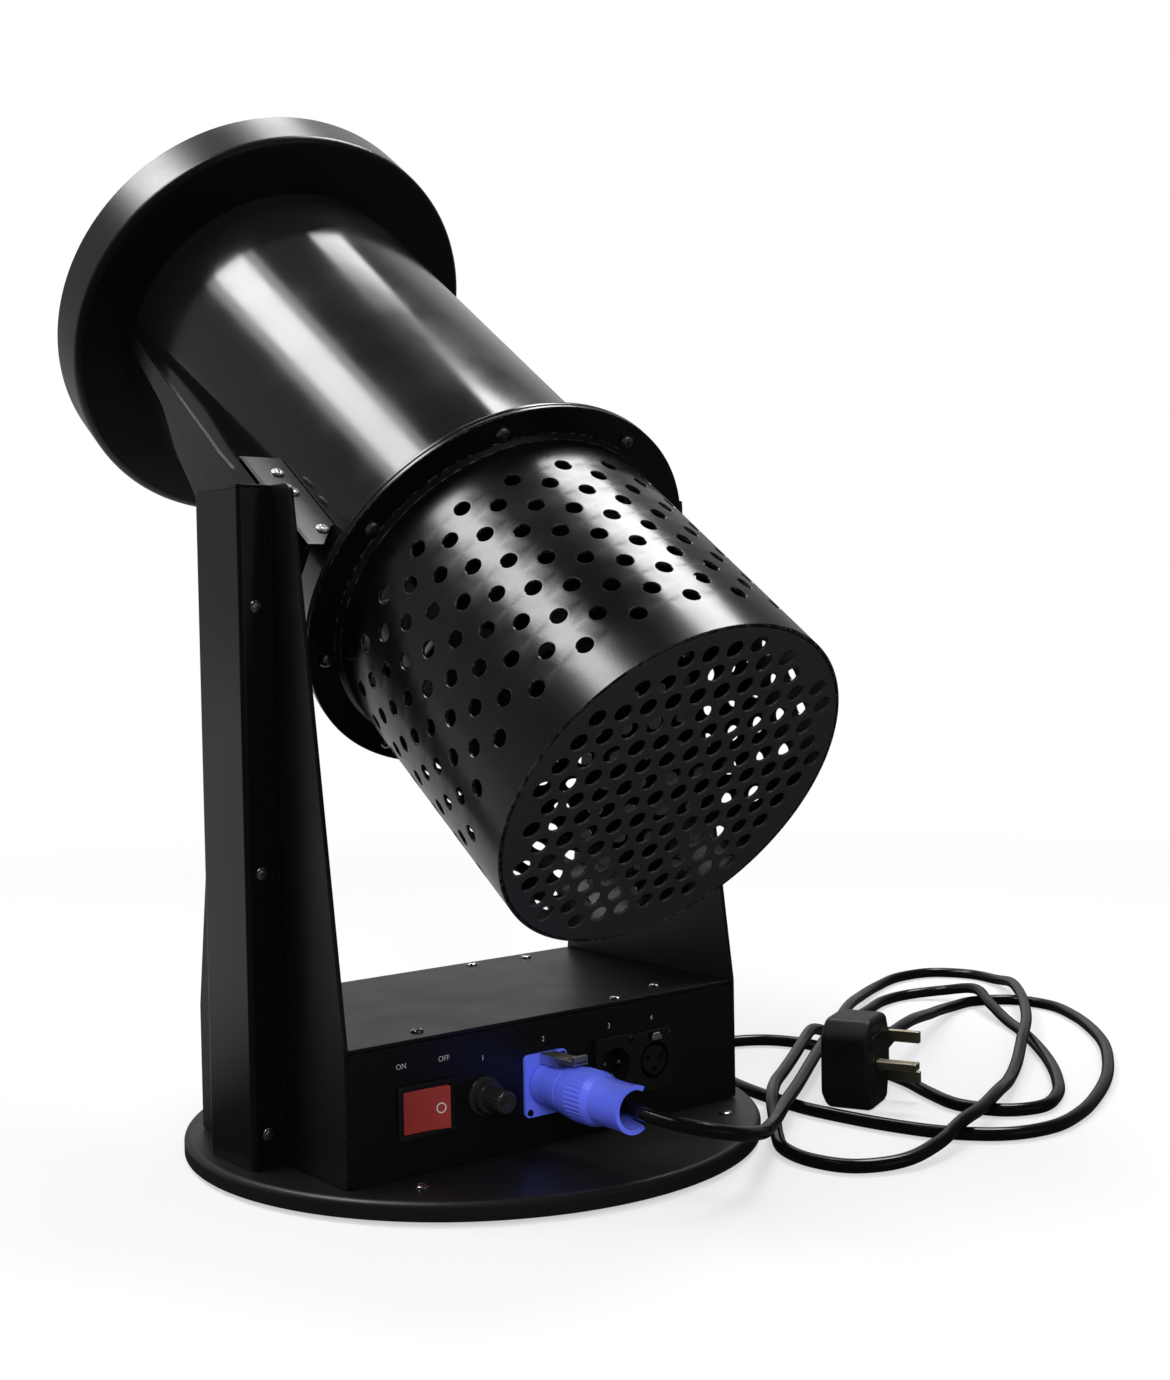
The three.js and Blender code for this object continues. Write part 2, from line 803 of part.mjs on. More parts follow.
{
  const place = [inletAcross, 0, inletZ];
  const bodyEnd = plugFront - plugBodyLength;
  const latchFloor = plugBodyRadius * 0.96;
  const body = revolve(
    "y",
    [
      [0, flangeFront + noseDepth],
      [nosePlug, flangeFront + noseDepth],
      [nosePlug, plugFront],
      [plugBodyRadius, plugFront],
      [plugBodyRadius, plugFront - plugBodyLength * 0.3],
      [plugBodyWide, bodyEnd + overrun],
      [plugBodyWide - overrun, bodyEnd],
      [0, bodyEnd],
    ],
    bodySides,
    place,
  );
  const flat = box(
    inletAcross - plugLatchWidth / 2 - seatGap,
    inletAcross + plugLatchWidth / 2 + seatGap,
    bodyEnd - overrun,
    plugFront,
    inletZ + latchFloor,
    inletZ + collarBulge * 2,
  );
  piece("power_plug_body", body.subtract(flat), "blue", lead);

  const collar = revolve(
    "y",
    [
      [0, collarStart],
      [plugBodyWide - overrun, collarStart],
      [collarRadius, collarStart - overrun],
      [collarBulge, collarStart - collarLength * 0.45],
      [collarBulge, collarStart - collarLength * 0.8],
      [forkRadius, collarEnd],
      [forkRadius, forkEnd],
      [forkRadius - forkWall, forkEnd],
      [forkRadius - forkWall, collarEnd],
      [0, collarEnd],
    ],
    bodySides,
    place,
  );
  // The clamp's skirt is open on one side, which leaves two prongs round the lead.
  const mouth = push(
    "x",
    outline([
      [collarEnd, inletZ - forkSlot / 2],
      [forkEnd - overrun, inletZ - forkSlot * 0.68],
      [forkEnd - overrun, inletZ + forkSlot * 0.68],
      [collarEnd, inletZ + forkSlot / 2],
    ]),
    inletAcross,
    inletAcross + 2 * forkRadius,
  );
  piece("power_plug_collar", collar.subtract(mouth), "blue", lead);

  const latchBottom = inletZ + latchFloor + seatGap;
  const slideBottom = inletZ + collarBulge + seatGap;
  const latchBack = plugFront - runGap;
  const slide = box(
    inletAcross - plugLatchWidth / 2,
    inletAcross + plugLatchWidth / 2,
    latchBack - plugLatchLength,
    latchBack,
    slideBottom,
    slideBottom + plugLatchSheet,
  );
  const keel = box(
    inletAcross - plugLatchWidth / 2,
    inletAcross + plugLatchWidth / 2,
    latchBack - plugBodyLength * 0.7,
    latchBack,
    latchBottom,
    slideBottom + plugLatchSheet / 2,
  );
  const thumb = box(
    inletAcross - plugLatchWidth / 2,
    inletAcross + plugLatchWidth / 2,
    latchBack - plugLatchLength,
    latchBack - plugLatchLength + plugLatchSheet,
    slideBottom,
    slideBottom + plugLatchSheet + plugLatchLip,
  );
  piece("power_plug_latch", join([slide, keel, thumb]), "nickel", lead);
}

// Yoke

for (const [name, hand] of sides) {
  const foot = baseTop + seatGap;
  const armShape = new THREE.Shape();
  armShape.moveTo(-boxHalfDepth, foot);
  armShape.lineTo(boxHalfDepth, foot);
  armShape.lineTo(boxHalfDepth, boxTop);
  armShape.lineTo(armTopHalf, armTop - armCorner);
  armShape.absarc(armTopHalf - armCorner, armTop - armCorner, armCorner, 0, Math.PI / 2);
  armShape.absarc(-armTopHalf + armCorner, armTop - armCorner, armCorner, Math.PI / 2, Math.PI);
  armShape.lineTo(-boxHalfDepth, boxTop);
  const plate = push("x", armShape, armInner, armOuter);

  // Tabs turned out of the arm carry the cover's screws.
  const tabIn = coverWidth / 2 - coverSheet - seatGap;
  const tabs = tabShares.flatMap((share) =>
    [-1, 1].map((way) =>
      box(
        armOuter - armSheet / 2,
        coverOuter - coverSheet - armSheet,
        pivotForward + way * tabIn,
        pivotForward + way * (tabIn - coverSheet),
        baseTop + armHeight * share - tabHeight / 2,
        baseTop + armHeight * share + tabHeight / 2,
      ),
    ),
  );
  const pivotHole = rod("x", bushRadius + seatGap, armInner - overrun, armOuter + overrun, bushSides, [
    0,
    pivotForward,
    pivotZ,
  ]);
  const drillings = [pivotHole];
  if (hand < 0)
    drillings.push(
      rod("x", bossRadius + seatGap, armInner - overrun, armOuter + overrun, bodySides, [
        0,
        pivotForward,
        motorZ,
      ]),
    );
  piece("arm_" + name, mirrored(cut(join([plate, ...tabs]), drillings), hand), "black");

  const half = coverWidth / 2;
  const channel = box(
    coverInner,
    coverOuter,
    pivotForward - half,
    pivotForward + half,
    foot,
    armTop,
  );
  const inside = box(
    coverInner - overrun,
    coverOuter - coverSheet,
    pivotForward - half + coverSheet,
    pivotForward + half - coverSheet,
    foot - overrun,
    armTop - coverSheet,
  );
  piece("arm_cover_" + name, mirrored(channel.subtract(inside), hand), "sheen");

  // Flanged bush in the arm for the tilt shaft.
  const bushInner = armInner - seatGap - bushFlange;
  const bush = revolve(
    "x",
    [
      [bushBore, bushInner],
      [bushFlangeRadius, bushInner],
      [bushFlangeRadius, bushInner + bushFlange],
      [bushRadius, bushInner + bushFlange],
      [bushRadius, armOuter + bushReach],
      [bushBore, armOuter + bushReach],
    ],
    bushSides,
    [0, pivotForward, pivotZ],
  );
  piece("pivot_bearing_" + name, mirrored(bush, hand), "steel");
}

// Tilt drive

{
  const faceX = boxHalfWidth - boxSheet - seatGap;
  const half = motorSide / 2;
  const can = push(
    "x",
    roundedRect(
      pivotForward - half,
      pivotForward + half,
      motorZ - half,
      motorZ + half,
      motorCorner,
    ),
    faceX - motorLength,
    faceX,
    1,
  );
  const boss = rod("x", bossRadius, faceX - overrun, faceX + bossHeight, bodySides, [
    0,
    pivotForward,
    motorZ,
  ]);
  piece("tilt_motor", mirrored(can.add(boss), -1), "steel");

  const grooveEnds = [pulleyInner + pulleyFlange, pulleyOuter - pulleyFlange];
  const rims = (groove) => [
    [groove + pulleyLip, pulleyInner],
    [groove + pulleyLip, grooveEnds[0]],
    [groove, grooveEnds[0]],
    [groove, grooveEnds[1]],
    [groove + pulleyLip, grooveEnds[1]],
    [groove + pulleyLip, pulleyOuter],
  ];
  const shaftFrom = faceX + bossHeight + seatGap;
  const small = revolve(
    "x",
    [
      [0, shaftFrom],
      [motorShaftRadius, shaftFrom],
      [motorShaftRadius, pulleyInner],
      ...rims(smallPulleyRadius),
      [0, pulleyOuter],
    ],
    shaftSides,
    [0, pivotForward, motorZ],
  );
  piece("motor_pulley", mirrored(small, -1), "steel");

  const bore = shaftRadius + seatGap;
  const large = revolve("x", [[bore, pulleyInner], ...rims(largePulleyRadius), [bore, pulleyOuter]], shaftSides);
  piece("tilt_pulley", mirrored(large, -1), "steel", head);

  // The belt lies in both grooves: two arcs and the straight runs between them.
  const reach = pivotZ - motorZ;
  const loop = (shape, grow) => {
    const [top, low] = [largePulleyRadius + seatGap + grow, smallPulleyRadius + seatGap + grow];
    const lean = Math.asin((top - low) / reach);
    shape.absarc(pivotForward, pivotZ, top, -lean, Math.PI + lean);
    shape.absarc(pivotForward, motorZ, low, Math.PI + lean, 2 * Math.PI - lean);
    return shape;
  };
  const belt = loop(new THREE.Shape(), beltSheet);
  belt.holes = [loop(new THREE.Path(), 0)];
  const edge = seatGap;
  piece(
    "drive_belt",
    mirrored(push("x", belt, grooveEnds[0] + edge, grooveEnds[1] - edge, 6), -1),
    "rubber",
  );
}

// Head

// The head's own frame: X along the tilt axis, Y out of the muzzle, Z across both.
head.position.set(0, pivotForward, pivotZ);
head.rotation.x = THREE.MathUtils.degToRad(restTilt);

const boltAngles = ringAngles(8, boltPhase);
const ringPlace = (radius, angle) => [radius * Math.cos(angle), 0, radius * Math.sin(angle)];
const boltHoles = (from, to) =>
  boltAngles.map((a) => rod("y", boltRadius + seatGap, from, to, boltSides, ringPlace(boltCircle, a)));

{
  const tube = revolve(
    "y",
    [
      [barrelBore, flangeFace - flangeSheet],
      [barrelRadius, flangeFace - flangeSheet],
      [barrelRadius, barrelAhead - seatGap],
      [barrelBore, barrelAhead - seatGap],
    ],
    wideSides,
  );
  piece("barrel", tube, "sheen", head);

  // The flange is a ring round the tube's end.
  const ring = revolve(
    "y",
    [
      [barrelRadius + seatGap, flangeFace - flangeSheet],
      [flangeRadius, flangeFace - flangeSheet],
      [flangeRadius, flangeFace],
      [barrelRadius + seatGap, flangeFace],
    ],
    wideSides,
  );
  piece(
    "barrel_flange",
    cut(ring, boltHoles(flangeFace - flangeSheet - overrun, flangeFace + overrun)),
    "sheen",
    head,
  );

  // Brim: a back plate with a rim turned forward, and a spigot that sits in the barrel.
  const plateFront = barrelAhead + brimSheet;
  const spigotOuter = barrelBore - seatGap;
  const spigotInner = spigotOuter - brimSheet;
  const rimInner = brimRadius - brimSheet;
  const bend = [0, 45, 90].map((deg) => THREE.MathUtils.degToRad(deg));
  const outerBend = bend.map((a) => [
    brimRadius - brimRounding + brimRounding * Math.sin(a),
    barrelAhead + brimRounding - brimRounding * Math.cos(a),
  ]);
  const innerRounding = brimRounding - brimSheet;
  piece(
    "brim_pan",
    revolve(
      "y",
      [
        [spigotInner, barrelAhead - brimSpigot],
        [spigotOuter, barrelAhead - brimSpigot],
        [spigotOuter, barrelAhead],
        ...outerBend,
        [brimRadius, barrelAhead + brimDepth],
        [rimInner, barrelAhead + brimDepth],
        [rimInner, plateFront + innerRounding],
        [rimInner - innerRounding, plateFront],
        [spigotInner, plateFront],
      ],
      wideSides,
    ),
    "sheen",
    head,
  );
}

{
  // Intake cage: one flat facet for each column of holes, folded edge to edge into a drum.
  const facet = 360 / cageFacets;
  const tangent = Math.tan(Math.PI / cageFacets);
  const wallTo = cageFlangeFace - flangeSheet / 2;
  const triangles = [];
  const walls = [cageRadius, cageRadius - cageSheet];
  ringAngles(cageFacets, cagePhase).forEach((angle, column) => {
    // A point of the facet, in the outer (0) or inner (1) wall.
    const at = (wall, x, y) => [
      walls[wall] * Math.cos(angle) - x * Math.sin(angle),
      y,
      walls[wall] * Math.sin(angle) + x * Math.cos(angle),
    ];
    const quad = (a, b, c, d) => triangles.push(a, b, c, a, c, d);
    const rings = [];
    for (let ring = column % 2; ring < ringCount; ring += 2) {
      const along = -cageBehind + ringInset + (ringCount - 1 - ring) * ringPitch;
      rings.push(
        ringAngles(holeSides).map((h) => [cageHole * Math.cos(h), along + cageHole * Math.sin(h)]),
      );
    }
    walls.forEach((radius, wall) => {
      const half = radius * tangent;
      const panel = outline(
        [[-half, -cageBehind], [half, -cageBehind], [half, wallTo], [-half, wallTo]],
        rings.map((ring) => new THREE.Path(ring.map((p) => new THREE.Vector2(...p)))),
      );
      const flat = new THREE.ShapeGeometry(panel).toNonIndexed().getAttribute("position");
      for (let i = 0; i < flat.count; i += 3) {
        const corners = [0, 1, 2].map((j) => at(wall, flat.getX(i + j), flat.getY(i + j)));
        triangles.push(...(wall ? corners : corners.reverse()));
      }
    });
    const [outerHalf, innerHalf] = walls.map((radius) => radius * tangent);
    for (const [end, way] of [[-cageBehind, 1], [wallTo, -1]])
      quad(
        at(0, -way * outerHalf, end),
        at(0, way * outerHalf, end),
        at(1, way * innerHalf, end),
        at(1, -way * innerHalf, end),
      );
    for (const ring of rings)
      ring.forEach((p, i) => {
        const q = ring[(i + 1) % ring.length];
        quad(at(0, ...q), at(0, ...p), at(1, ...p), at(1, ...q));
      });
  });
  const drum = new THREE.BufferGeometry();
  drum.setAttribute("position", new THREE.Float32BufferAttribute(triangles.flat(), 3));
  const bore = (cageRadius - cageSheet) / Math.cos(Math.PI / cageFacets);
  const collar = revolve(
    "y",
    [
      [bore, cageFlangeFace - flangeSheet],
      [flangeRadius, cageFlangeFace - flangeSheet],
      [flangeRadius, cageFlangeFace],
      [bore, cageFlangeFace],
    ],
    cageFacets,
    [0, 0, 0],
    THREE.MathUtils.degToRad(90 - cagePhase - facet / 2),
  );
  const bolts = boltHoles(cageFlangeFace - flangeSheet - overrun, cageFlangeFace + overrun);
  piece("intake_cage", cut(solid(drum).add(collar), bolts), "sheen", head);

  // End grille: a disc drilled on a hexagonal grid, with its edge turned into the cage.
  const discRadius = cageRadius - cageSheet - seatGap;
  const disc = new THREE.Shape().absarc(0, 0, discRadius, 0, Math.PI * 2);
  const twist = THREE.MathUtils.degToRad(grilleTwist);
  const rowStep = grillePitch * Math.sin(Math.PI / 3);
  const rows = Math.ceil(discRadius / rowStep);
  const columns = Math.ceil(discRadius / grillePitch) + 1;
  for (let row = -rows; row <= rows; row++)
    for (let column = -columns; column <= columns; column++) {
      const a = (column + (Math.abs(row) % 2) / 2) * grillePitch;
      const b = row * rowStep;
      const x = grilleOff[0] + a * Math.cos(twist) - b * Math.sin(twist);
      const z = grilleOff[1] + a * Math.sin(twist) + b * Math.cos(twist);
      if (Math.hypot(x, z) > discRadius - grilleBorder) continue;
      const hole = ringAngles(holeSides).map(
        (h) => new THREE.Vector2(x + grilleHole * Math.cos(h), z + grilleHole * Math.sin(h)),
      );
      disc.holes.push(new THREE.Path(hole.reverse()));
    }
  const face = push("y", disc, -cageBehind, -cageBehind + grilleSheet, wideSides / 2);
  const rim = revolve(
    "y",
    [
      [discRadius - grilleSheet, -cageBehind + grilleSheet / 2],
      [discRadius, -cageBehind + grilleSheet / 2],
      [discRadius, -cageBehind + grilleRim],
      [discRadius - grilleSheet, -cageBehind + grilleRim],
    ],
    wideSides,
    [0, 0, 0],
    Math.PI / 2,
  );
  piece("intake_grille", face.add(rim), "sheen", head);
}

boltAngles.forEach((angle, i) => {
  const headFrom = cageFlangeFace - flangeSheet - seatGap;
  const nutFrom = flangeFace + seatGap;
  const bolt = revolve(
    "y",
    [
      [0, headFrom - boltHead],
      [boltKeyRadius, headFrom - boltHead],
      [boltKeyRadius, headFrom],
      [boltRadius, headFrom],
      [boltRadius, nutFrom],
      [boltKeyRadius, nutFrom],
      [boltKeyRadius, nutFrom + boltNut],
      [0, nutFrom + boltNut],
    ],
    boltSides,
    ringPlace(boltCircle, angle),
  );
  piece("flange_bolt_" + (i + 1), bolt, "nickel", head);
});

// Side brackets and shafts

for (const [name, hand] of sides) {
  const inner = bracketFace - bracketSheet;
  const tipInner = stayTip - bracketSheet;
  const stayEnd = barrelAhead - seatGap;
  const bendAt = shelfFront + shelfHeight;
  const lowEdge = shelfHeight + bracketDrop;

  // The plate seen from above runs straight along the shelf, then bends in towards the barrel.
  const fromAbove = outline([
    [bracketFace, -bracketBack],
    [bracketFace, bendAt],
    [stayTip, stayEnd],
    [tipInner, stayEnd],
    [inner, bendAt - bracketSheet / 2],
    [inner, -bracketBack],
  ]);
  // Seen from the side it tapers to a rounded tip behind the brim.
  const tipLow = stayTipRise - stayTipHeight;
  const fromSide = outline([
    [-bracketBack, -bracketDrop + shelfChamfer],
    [-bracketBack + shelfChamfer, -bracketDrop],
    [bendAt, -bracketDrop],
    [bendAt + lowEdge * 1.15, -bracketDrop * 0.76],
    [bendAt + lowEdge * 1.85, -bracketDrop * 0.36],
    [stayEnd - stayTipHeight, tipLow],
    [stayEnd, tipLow + stayTipHeight / 3],
    [stayEnd, stayTipRise - stayTipHeight / 3],
    [stayEnd - stayTipHeight / 3, stayTipRise],
    [shelfFront, stayNeck],
    [shelfFront, shelfHeight],
    [-bracketBack, shelfHeight],
  ]);
  const band = push("z", fromAbove, -bracketDrop - overrun, shelfHeight + overrun);
  const plate = band.intersect(push("x", fromSide, tipInner - overrun, bracketFace + overrun));

  // Shelf from the plate to the barrel, with its back corner cut off.
  const shelfShape = outline([
    [0, -bracketBack + shelfChamfer + boltNut],
    [barrelRadius, -bracketBack + shelfChamfer + boltNut],
    [barrelRadius + shelfChamfer, -bracketBack],
    [bracketFace - bracketSheet / 2, -bracketBack],
    [bracketFace - bracketSheet / 2, shelfFront],
    [0, shelfFront],
  ]);
  const shelf = push("z", shelfShape, shelfHeight - bracketSheet, shelfHeight);
  const barrelSpace = rod("y", barrelRadius + seatGap, -barrelAhead, barrelAhead, wideSides);
  const cableHole = rod("x", shaftBore, inner - overrun, bracketFace + overrun, boltSides);
  const bracket = cut(plate.add(shelf), [barrelSpace, cableHole]);
  piece("side_bracket_" + name, mirrored(bracket, hand), "sheen", head);

  // Tilt shaft: a flange on the bracket and a hollow journal through the bush.
  const shaftEnd = hand < 0 ? pulleyOuter + runGap : armOuter + bushReach + runGap + shaftFlange;
  const shaft = revolve(
    "x",
    [
      [shaftBore, shaftStart],
      [shaftFlangeRadius, shaftStart],
      [shaftFlangeRadius, shaftStart + shaftFlange],
      [shaftRadius, shaftStart + shaftFlange],
      [shaftRadius, shaftEnd],
      [shaftBore, shaftEnd],
    ],
    shaftSides,
  );
  piece("pivot_shaft_" + name, mirrored(shaft, hand), "steel", head);
}

// Fan

{
  const hubBack = -fanBehind - hubLength / 2; // towards the cage
  const hubFront = -fanBehind + hubLength / 2;
  const tipRadius = barrelBore - tipGap;
  const hub = revolve(
    "y",
    [
      [0, hubBack - hubNose],
      [hubRadius * 0.6, hubBack - hubNose * 0.75],
      [hubRadius, hubBack],
      [hubRadius, hubFront],
      [fanShaftRadius, hubFront],
      [fanShaftRadius, hubFront + fanBoss + fanShaftDepth],
      [0, hubFront + fanBoss + fanShaftDepth],
    ],
    2 * bladeCount,
  );
  // Each blade is lofted through stations that lengthen, thin and untwist towards the tip.
  const blade = (angle) => {
    const rings = stationShares.map((share) => {
      const mix = (a, b) => a + (b - a) * share;
      const radius = mix(hubRadius - bladeThick, tipRadius);
      const chord = mix(rootChord, tipChord);
      const pitch = THREE.MathUtils.degToRad(mix(rootPitch, tipPitch));
      const thick = mix(bladeThick, bladeThin) / 2;
      const camber = chord * 0.06;
      const section = [
        [-chord / 2, 0],
        [-chord / 6, camber - thick],
        [chord / 4, camber * 0.8 - thick],
        [chord / 2, 0],
        [chord / 4, camber * 0.8 + thick],
        [-chord / 6, camber + thick],
      ];
      return section.map(([c, t]) => {
        const round = (c * Math.cos(pitch) - t * Math.sin(pitch)) / radius + angle;
        const along = c * Math.sin(pitch) + t * Math.cos(pitch) - fanBehind;
        return new THREE.Vector3(radius * Math.cos(round), along, radius * Math.sin(round));
      });
    });
    return loft(rings);
  };
  const impeller = join([hub, ...ringAngles(bladeCount).map(blade)]);
  piece("impeller", impeller, "plastic", head);

  const bossFrom = hubFront + runGap;
  const canFrom = bossFrom + fanBoss;
  const canEnd = canFrom + fanMotorLength;
  const boreRadius = fanShaftRadius + seatGap;
  const boreEnd = hubFront + fanBoss + fanShaftDepth + runGap;
  const motor = revolve(
    "y",
    [
      [boreRadius, bossFrom],
      [fanBossRadius, bossFrom],
      [fanBossRadius, canFrom],
      [fanMotorRadius, canFrom],
      [fanMotorRadius, canEnd],
      [0, canEnd],
      [0, boreEnd],
      [boreRadius, boreEnd],
    ],
    bodySides,
  );
  piece("fan_motor", motor, "steel", head);

  // Spider: a band round the motor, four spokes and a ring in the barrel.
  const mountFrom = canFrom + fanMotorLength / 2 - mountWidth / 2;
  const mountTo = mountFrom + mountWidth;
  const hoop = (inner) => [
    [inner, mountFrom],
    [inner + mountSheet, mountFrom],
    [inner + mountSheet, mountTo],
    [inner, mountTo],
  ];
  const bandInner = fanMotorRadius + seatGap;
  const ringInner = barrelBore - seatGap - mountSheet;
  // Each spoke ends half way into the flats of the band and of the ring.
  const spokeFrom = (bandInner + mountSheet / 2) * Math.cos(Math.PI / bodySides);
  const spokeTo = (ringInner + mountSheet / 2) * Math.cos(Math.PI / wideSides);
  const spokes = ringAngles(spokeCount, 45).map((angle) => {
    const bar = new THREE.BoxGeometry(spokeTo - spokeFrom, mountWidth, spokeSheet);
    bar.translate((spokeFrom + spokeTo) / 2, (mountFrom + mountTo) / 2, 0);
    return solid(bar.rotateY(-angle));
  });
  const mount = join([
    revolve("y", hoop(bandInner), bodySides),
    revolve("y", hoop(ringInner), wideSides),
    ...spokes,
  ]);
  piece("motor_mount", mount, "sheen", head);
}

// Mains lead

// The route's points, in order from the blue connector to the mains plug.
const cordRoute = [
  [-8, -119.2, 42], [-8, -135, 42], [-8, -150, 41.5], [-1, -168, 39], [18, -178, 34],
  [44, -169, 27.5], [70, -149, 21], [97, -127, 16.5], [130, -101, 14], [165, -75, 12],
  [205, -46, 12.2], [248, -15, 12.2], [290, 14, 12.2], [335, 46, 11.8], [382, 78, 7],
  [426, 103, 4], [463, 115, 4], [494, 110, 4], [509, 86, 4], [503, 57, 5],
  [483, 29, 10], [455, 0, 12.2], [420, -32, 12.2], [384, -61, 12.2], [345, -88, 11.8],
  [305, -115, 8], [268, -138, 8], [232, -159, 12.2], [200, -174, 12.2], [172, -184, 12.2],
  [144, -192, 8], [117, -193, 5], [95, -181, 4], [87, -160, 4], [91, -138, 4],
  [105, -119, 4], [121, -101, 6], [137, -83, 11], [156, -66, 12.2], [180, -49, 12.2],
  [208, -29, 12.2], [238, -7, 12.2], [265, 11, 12.8], [297, 27, 4.5], [327, 38, 4],
  [360, 52, 4], [391, 66, 4], [418, 69, 4], [438, 52, 7], [438, 24, 12.2],
  [421, -2, 9], [402, -31, 5], [382, -61, 4], [358, -90, 4], [332, -118, 4],
  [304, -144, 4], [276, -165, 4], [249, -175, 4], [228, -166, 4], [219, -143, 4],
  [226, -117, 4], [237, -90, 4], [244, -64, 4], [252, -38, 4], [259, -12, 4],
  [261, 14, 4], [250, 38, 4], [226, 50, 4], [201, 43, 4], [182, 22, 4],
  [169, -4, 4], [160, -33, 4], [155, -62, 4], [153, -90, 4], [156, -118, 4],
  [162, -146, 4], [173, -174, 4], [194, -196, 4], [222, -203, 4], [255, -196, 4],
  [292, -180, 4], [327, -161, 4], [361, -138, 4], [395, -111, 4], [424, -81, 4],
  [447, -51, 4], [462, -21, 4], [458, 8, 4], [436, 23, 4], [408, 19, 5],
  [378, 5, 9], [348, -13, 14], [318, -31, 19.5], [292, -46, 23.5], [270, -57.3, 25],
  [250.9, -66.3, 25],
];

// A smooth curve whose even steps lie closer together where it bends.
class BendSpacedCurve extends THREE.CatmullRomCurve3 {
  weights() {
    if (this.weightTable) return this.weightTable;
    const count = 1200;
    const table = [0];
    let [last, way] = [this.getPoint(0), this.getTangent(0)];
    for (let i = 1; i <= count; i++) {
      const [next, turned] = [this.getPoint(i / count), this.getTangent(i / count)];
      const bend = way.angleTo(turned) * cordBendShare * cordRadius;
      table.push(table[i - 1] + next.distanceTo(last) + bend);
      [last, way] = [next, turned];
    }
    this.weightTable = table;
    return table;
  }
  getUtoTmapping(u) {
    const table = this.weights();
    const target = u * table[table.length - 1];
    let i = 1;
    while (i < table.length - 1 && table[i] < target) i++;
    const share = (target - table[i - 1]) / (table[i] - table[i - 1]);
    return (i - 1 + share) / (table.length - 1);
  }
}

// The least gap between two stretches of the tube that do not meet end to end.
function leadGap(route) {
  const rings = route.getSpacedPoints(cordSteps);
  const fine = 24;
  const points = [];
  for (let i = 0; i < cordSteps; i++)
    for (let j = 0; j < fine; j++) points.push(rings[i].clone().lerp(rings[i + 1], j / fine));
  let least = Infinity;
  points.forEach((a, i) => {
    for (let j = i + 3 * fine; j < points.length; j++) least = Math.min(least, a.distanceTo(points[j]));
  });
  return least - 2 * cordRadius;
}

{
  const points = cordRoute.map((p) => new THREE.Vector3(...p));
  const route = new BendSpacedCurve(points, false, "centripetal");
  const section = outline(
    ringAngles(cordSides, 180 / cordSides).map((a) => [
      cordRadius * Math.cos(a),
      cordRadius * Math.sin(a),
    ]),
  );
  const tube = new THREE.ExtrudeGeometry(section, { steps: cordSteps, extrudePath: route });
  piece("power_cord", solid(tube), "rubber", lead);
  console.log("The lead clears itself by " + leadGap(route).toFixed(2) + " mm");
}

{
  // The mains plug's own frame: X towards its lead, Y away from its pins, Z up.
  const plug = new THREE.Group();
  plug.position.set(...plugPlace, 0);
  plug.rotation.z = THREE.MathUtils.degToRad(plugHeading);
  lead.add(plug);

  const [half, middle] = [plugLong / 2, plugTall / 2];
  const side = outline([
    [-half, plugChamfer],
    [-half + plugChamfer, 0],
    [half - plugShoulder, 0],
    [half, middle - plugNeck],
    [half, middle + plugNeck],
    [half - plugShoulder, plugTall],
    [-half + plugChamfer, plugTall],
    [-half, plugTall - plugChamfer],
  ]);
  const body = push("y", side, -plugThick / 2, plugThick / 2);
  // Both wide faces slope to a thinner edge at the lead's end.
  const wedges = [1, -1].map((way) => {
    const slope = outline([
      [half - plugShoulder, (way * plugThick) / 2],
      [half + overrun, way * plugNeck * 0.8],
      [half + overrun, way * plugThick],
      [half - plugShoulder, way * plugThick],
    ]);
    return push("z", slope, -overrun, plugTall + overrun);
  });
  piece("mains_plug_body", cut(body, wedges), "plastic", plug);

  const step = reliefLong / reliefRings;
  const profile = [[0, 0]];
  for (let i = 0; i < reliefRings; i++) {
    const wide = (share) => reliefWide + (cordRadius + overrun - reliefWide) * share;
    const [a, b] = [i / reliefRings, (i + 0.7) / reliefRings];
    profile.push([wide(a), i * step], [wide(b), (i + 0.7) * step]);
    profile.push([wide(b) - reliefGroove, (i + 0.7) * step]);
    profile.push([wide(b) - reliefGroove, (i + 1) * step]);
  }
  profile.push([0, reliefLong]);
  const relief = revolve("x", profile, footSides, [half + seatGap, 0, middle]);
  piece("mains_plug_relief", relief, "rubber", plug);

  const pinFace = -plugThick / 2 - seatGap;
  const pin = (name, along, up, alongSize, upSize, reach) =>
    piece(
      name,
      box(
        along - alongSize / 2,
        along + alongSize / 2,
        pinFace - reach,
        pinFace,
        up - upSize / 2,
        up + upSize / 2,
      ),
      "brass",
      plug,
    );
  const row = bladeSpacing / 2;
  pin("mains_pin_earth", -row, middle, earthWide, bladeSheet, earthReach);
  pin("mains_pin_line", row, middle + row, bladeSheet, bladeWide, bladeReach);
  pin("mains_pin_neutral", row, middle - row, bladeSheet, bladeWide, bladeReach);
}

// The origin lies on the floor, under the middle of the machine without its lead.
root.updateMatrixWorld(true);
const extent = new THREE.Box3().setFromObject(machine, true);
root.children.forEach((group) => {
  group.position.y -= (extent.min.y + extent.max.y) / 2;
});
root.name = "confetti_blower";

export default root;
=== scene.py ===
"""Looks of the confetti blower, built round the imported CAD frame.

Shapes are written in millimetres in the frame of the group that carries them (machine, head or
mains plug) and placed by that group's matrix. Lamps and the floor are in metres.
"""
import json
from math import cos, hypot, pi, radians, sin, tan

import bmesh
import bpy
from mathutils import Matrix, Vector


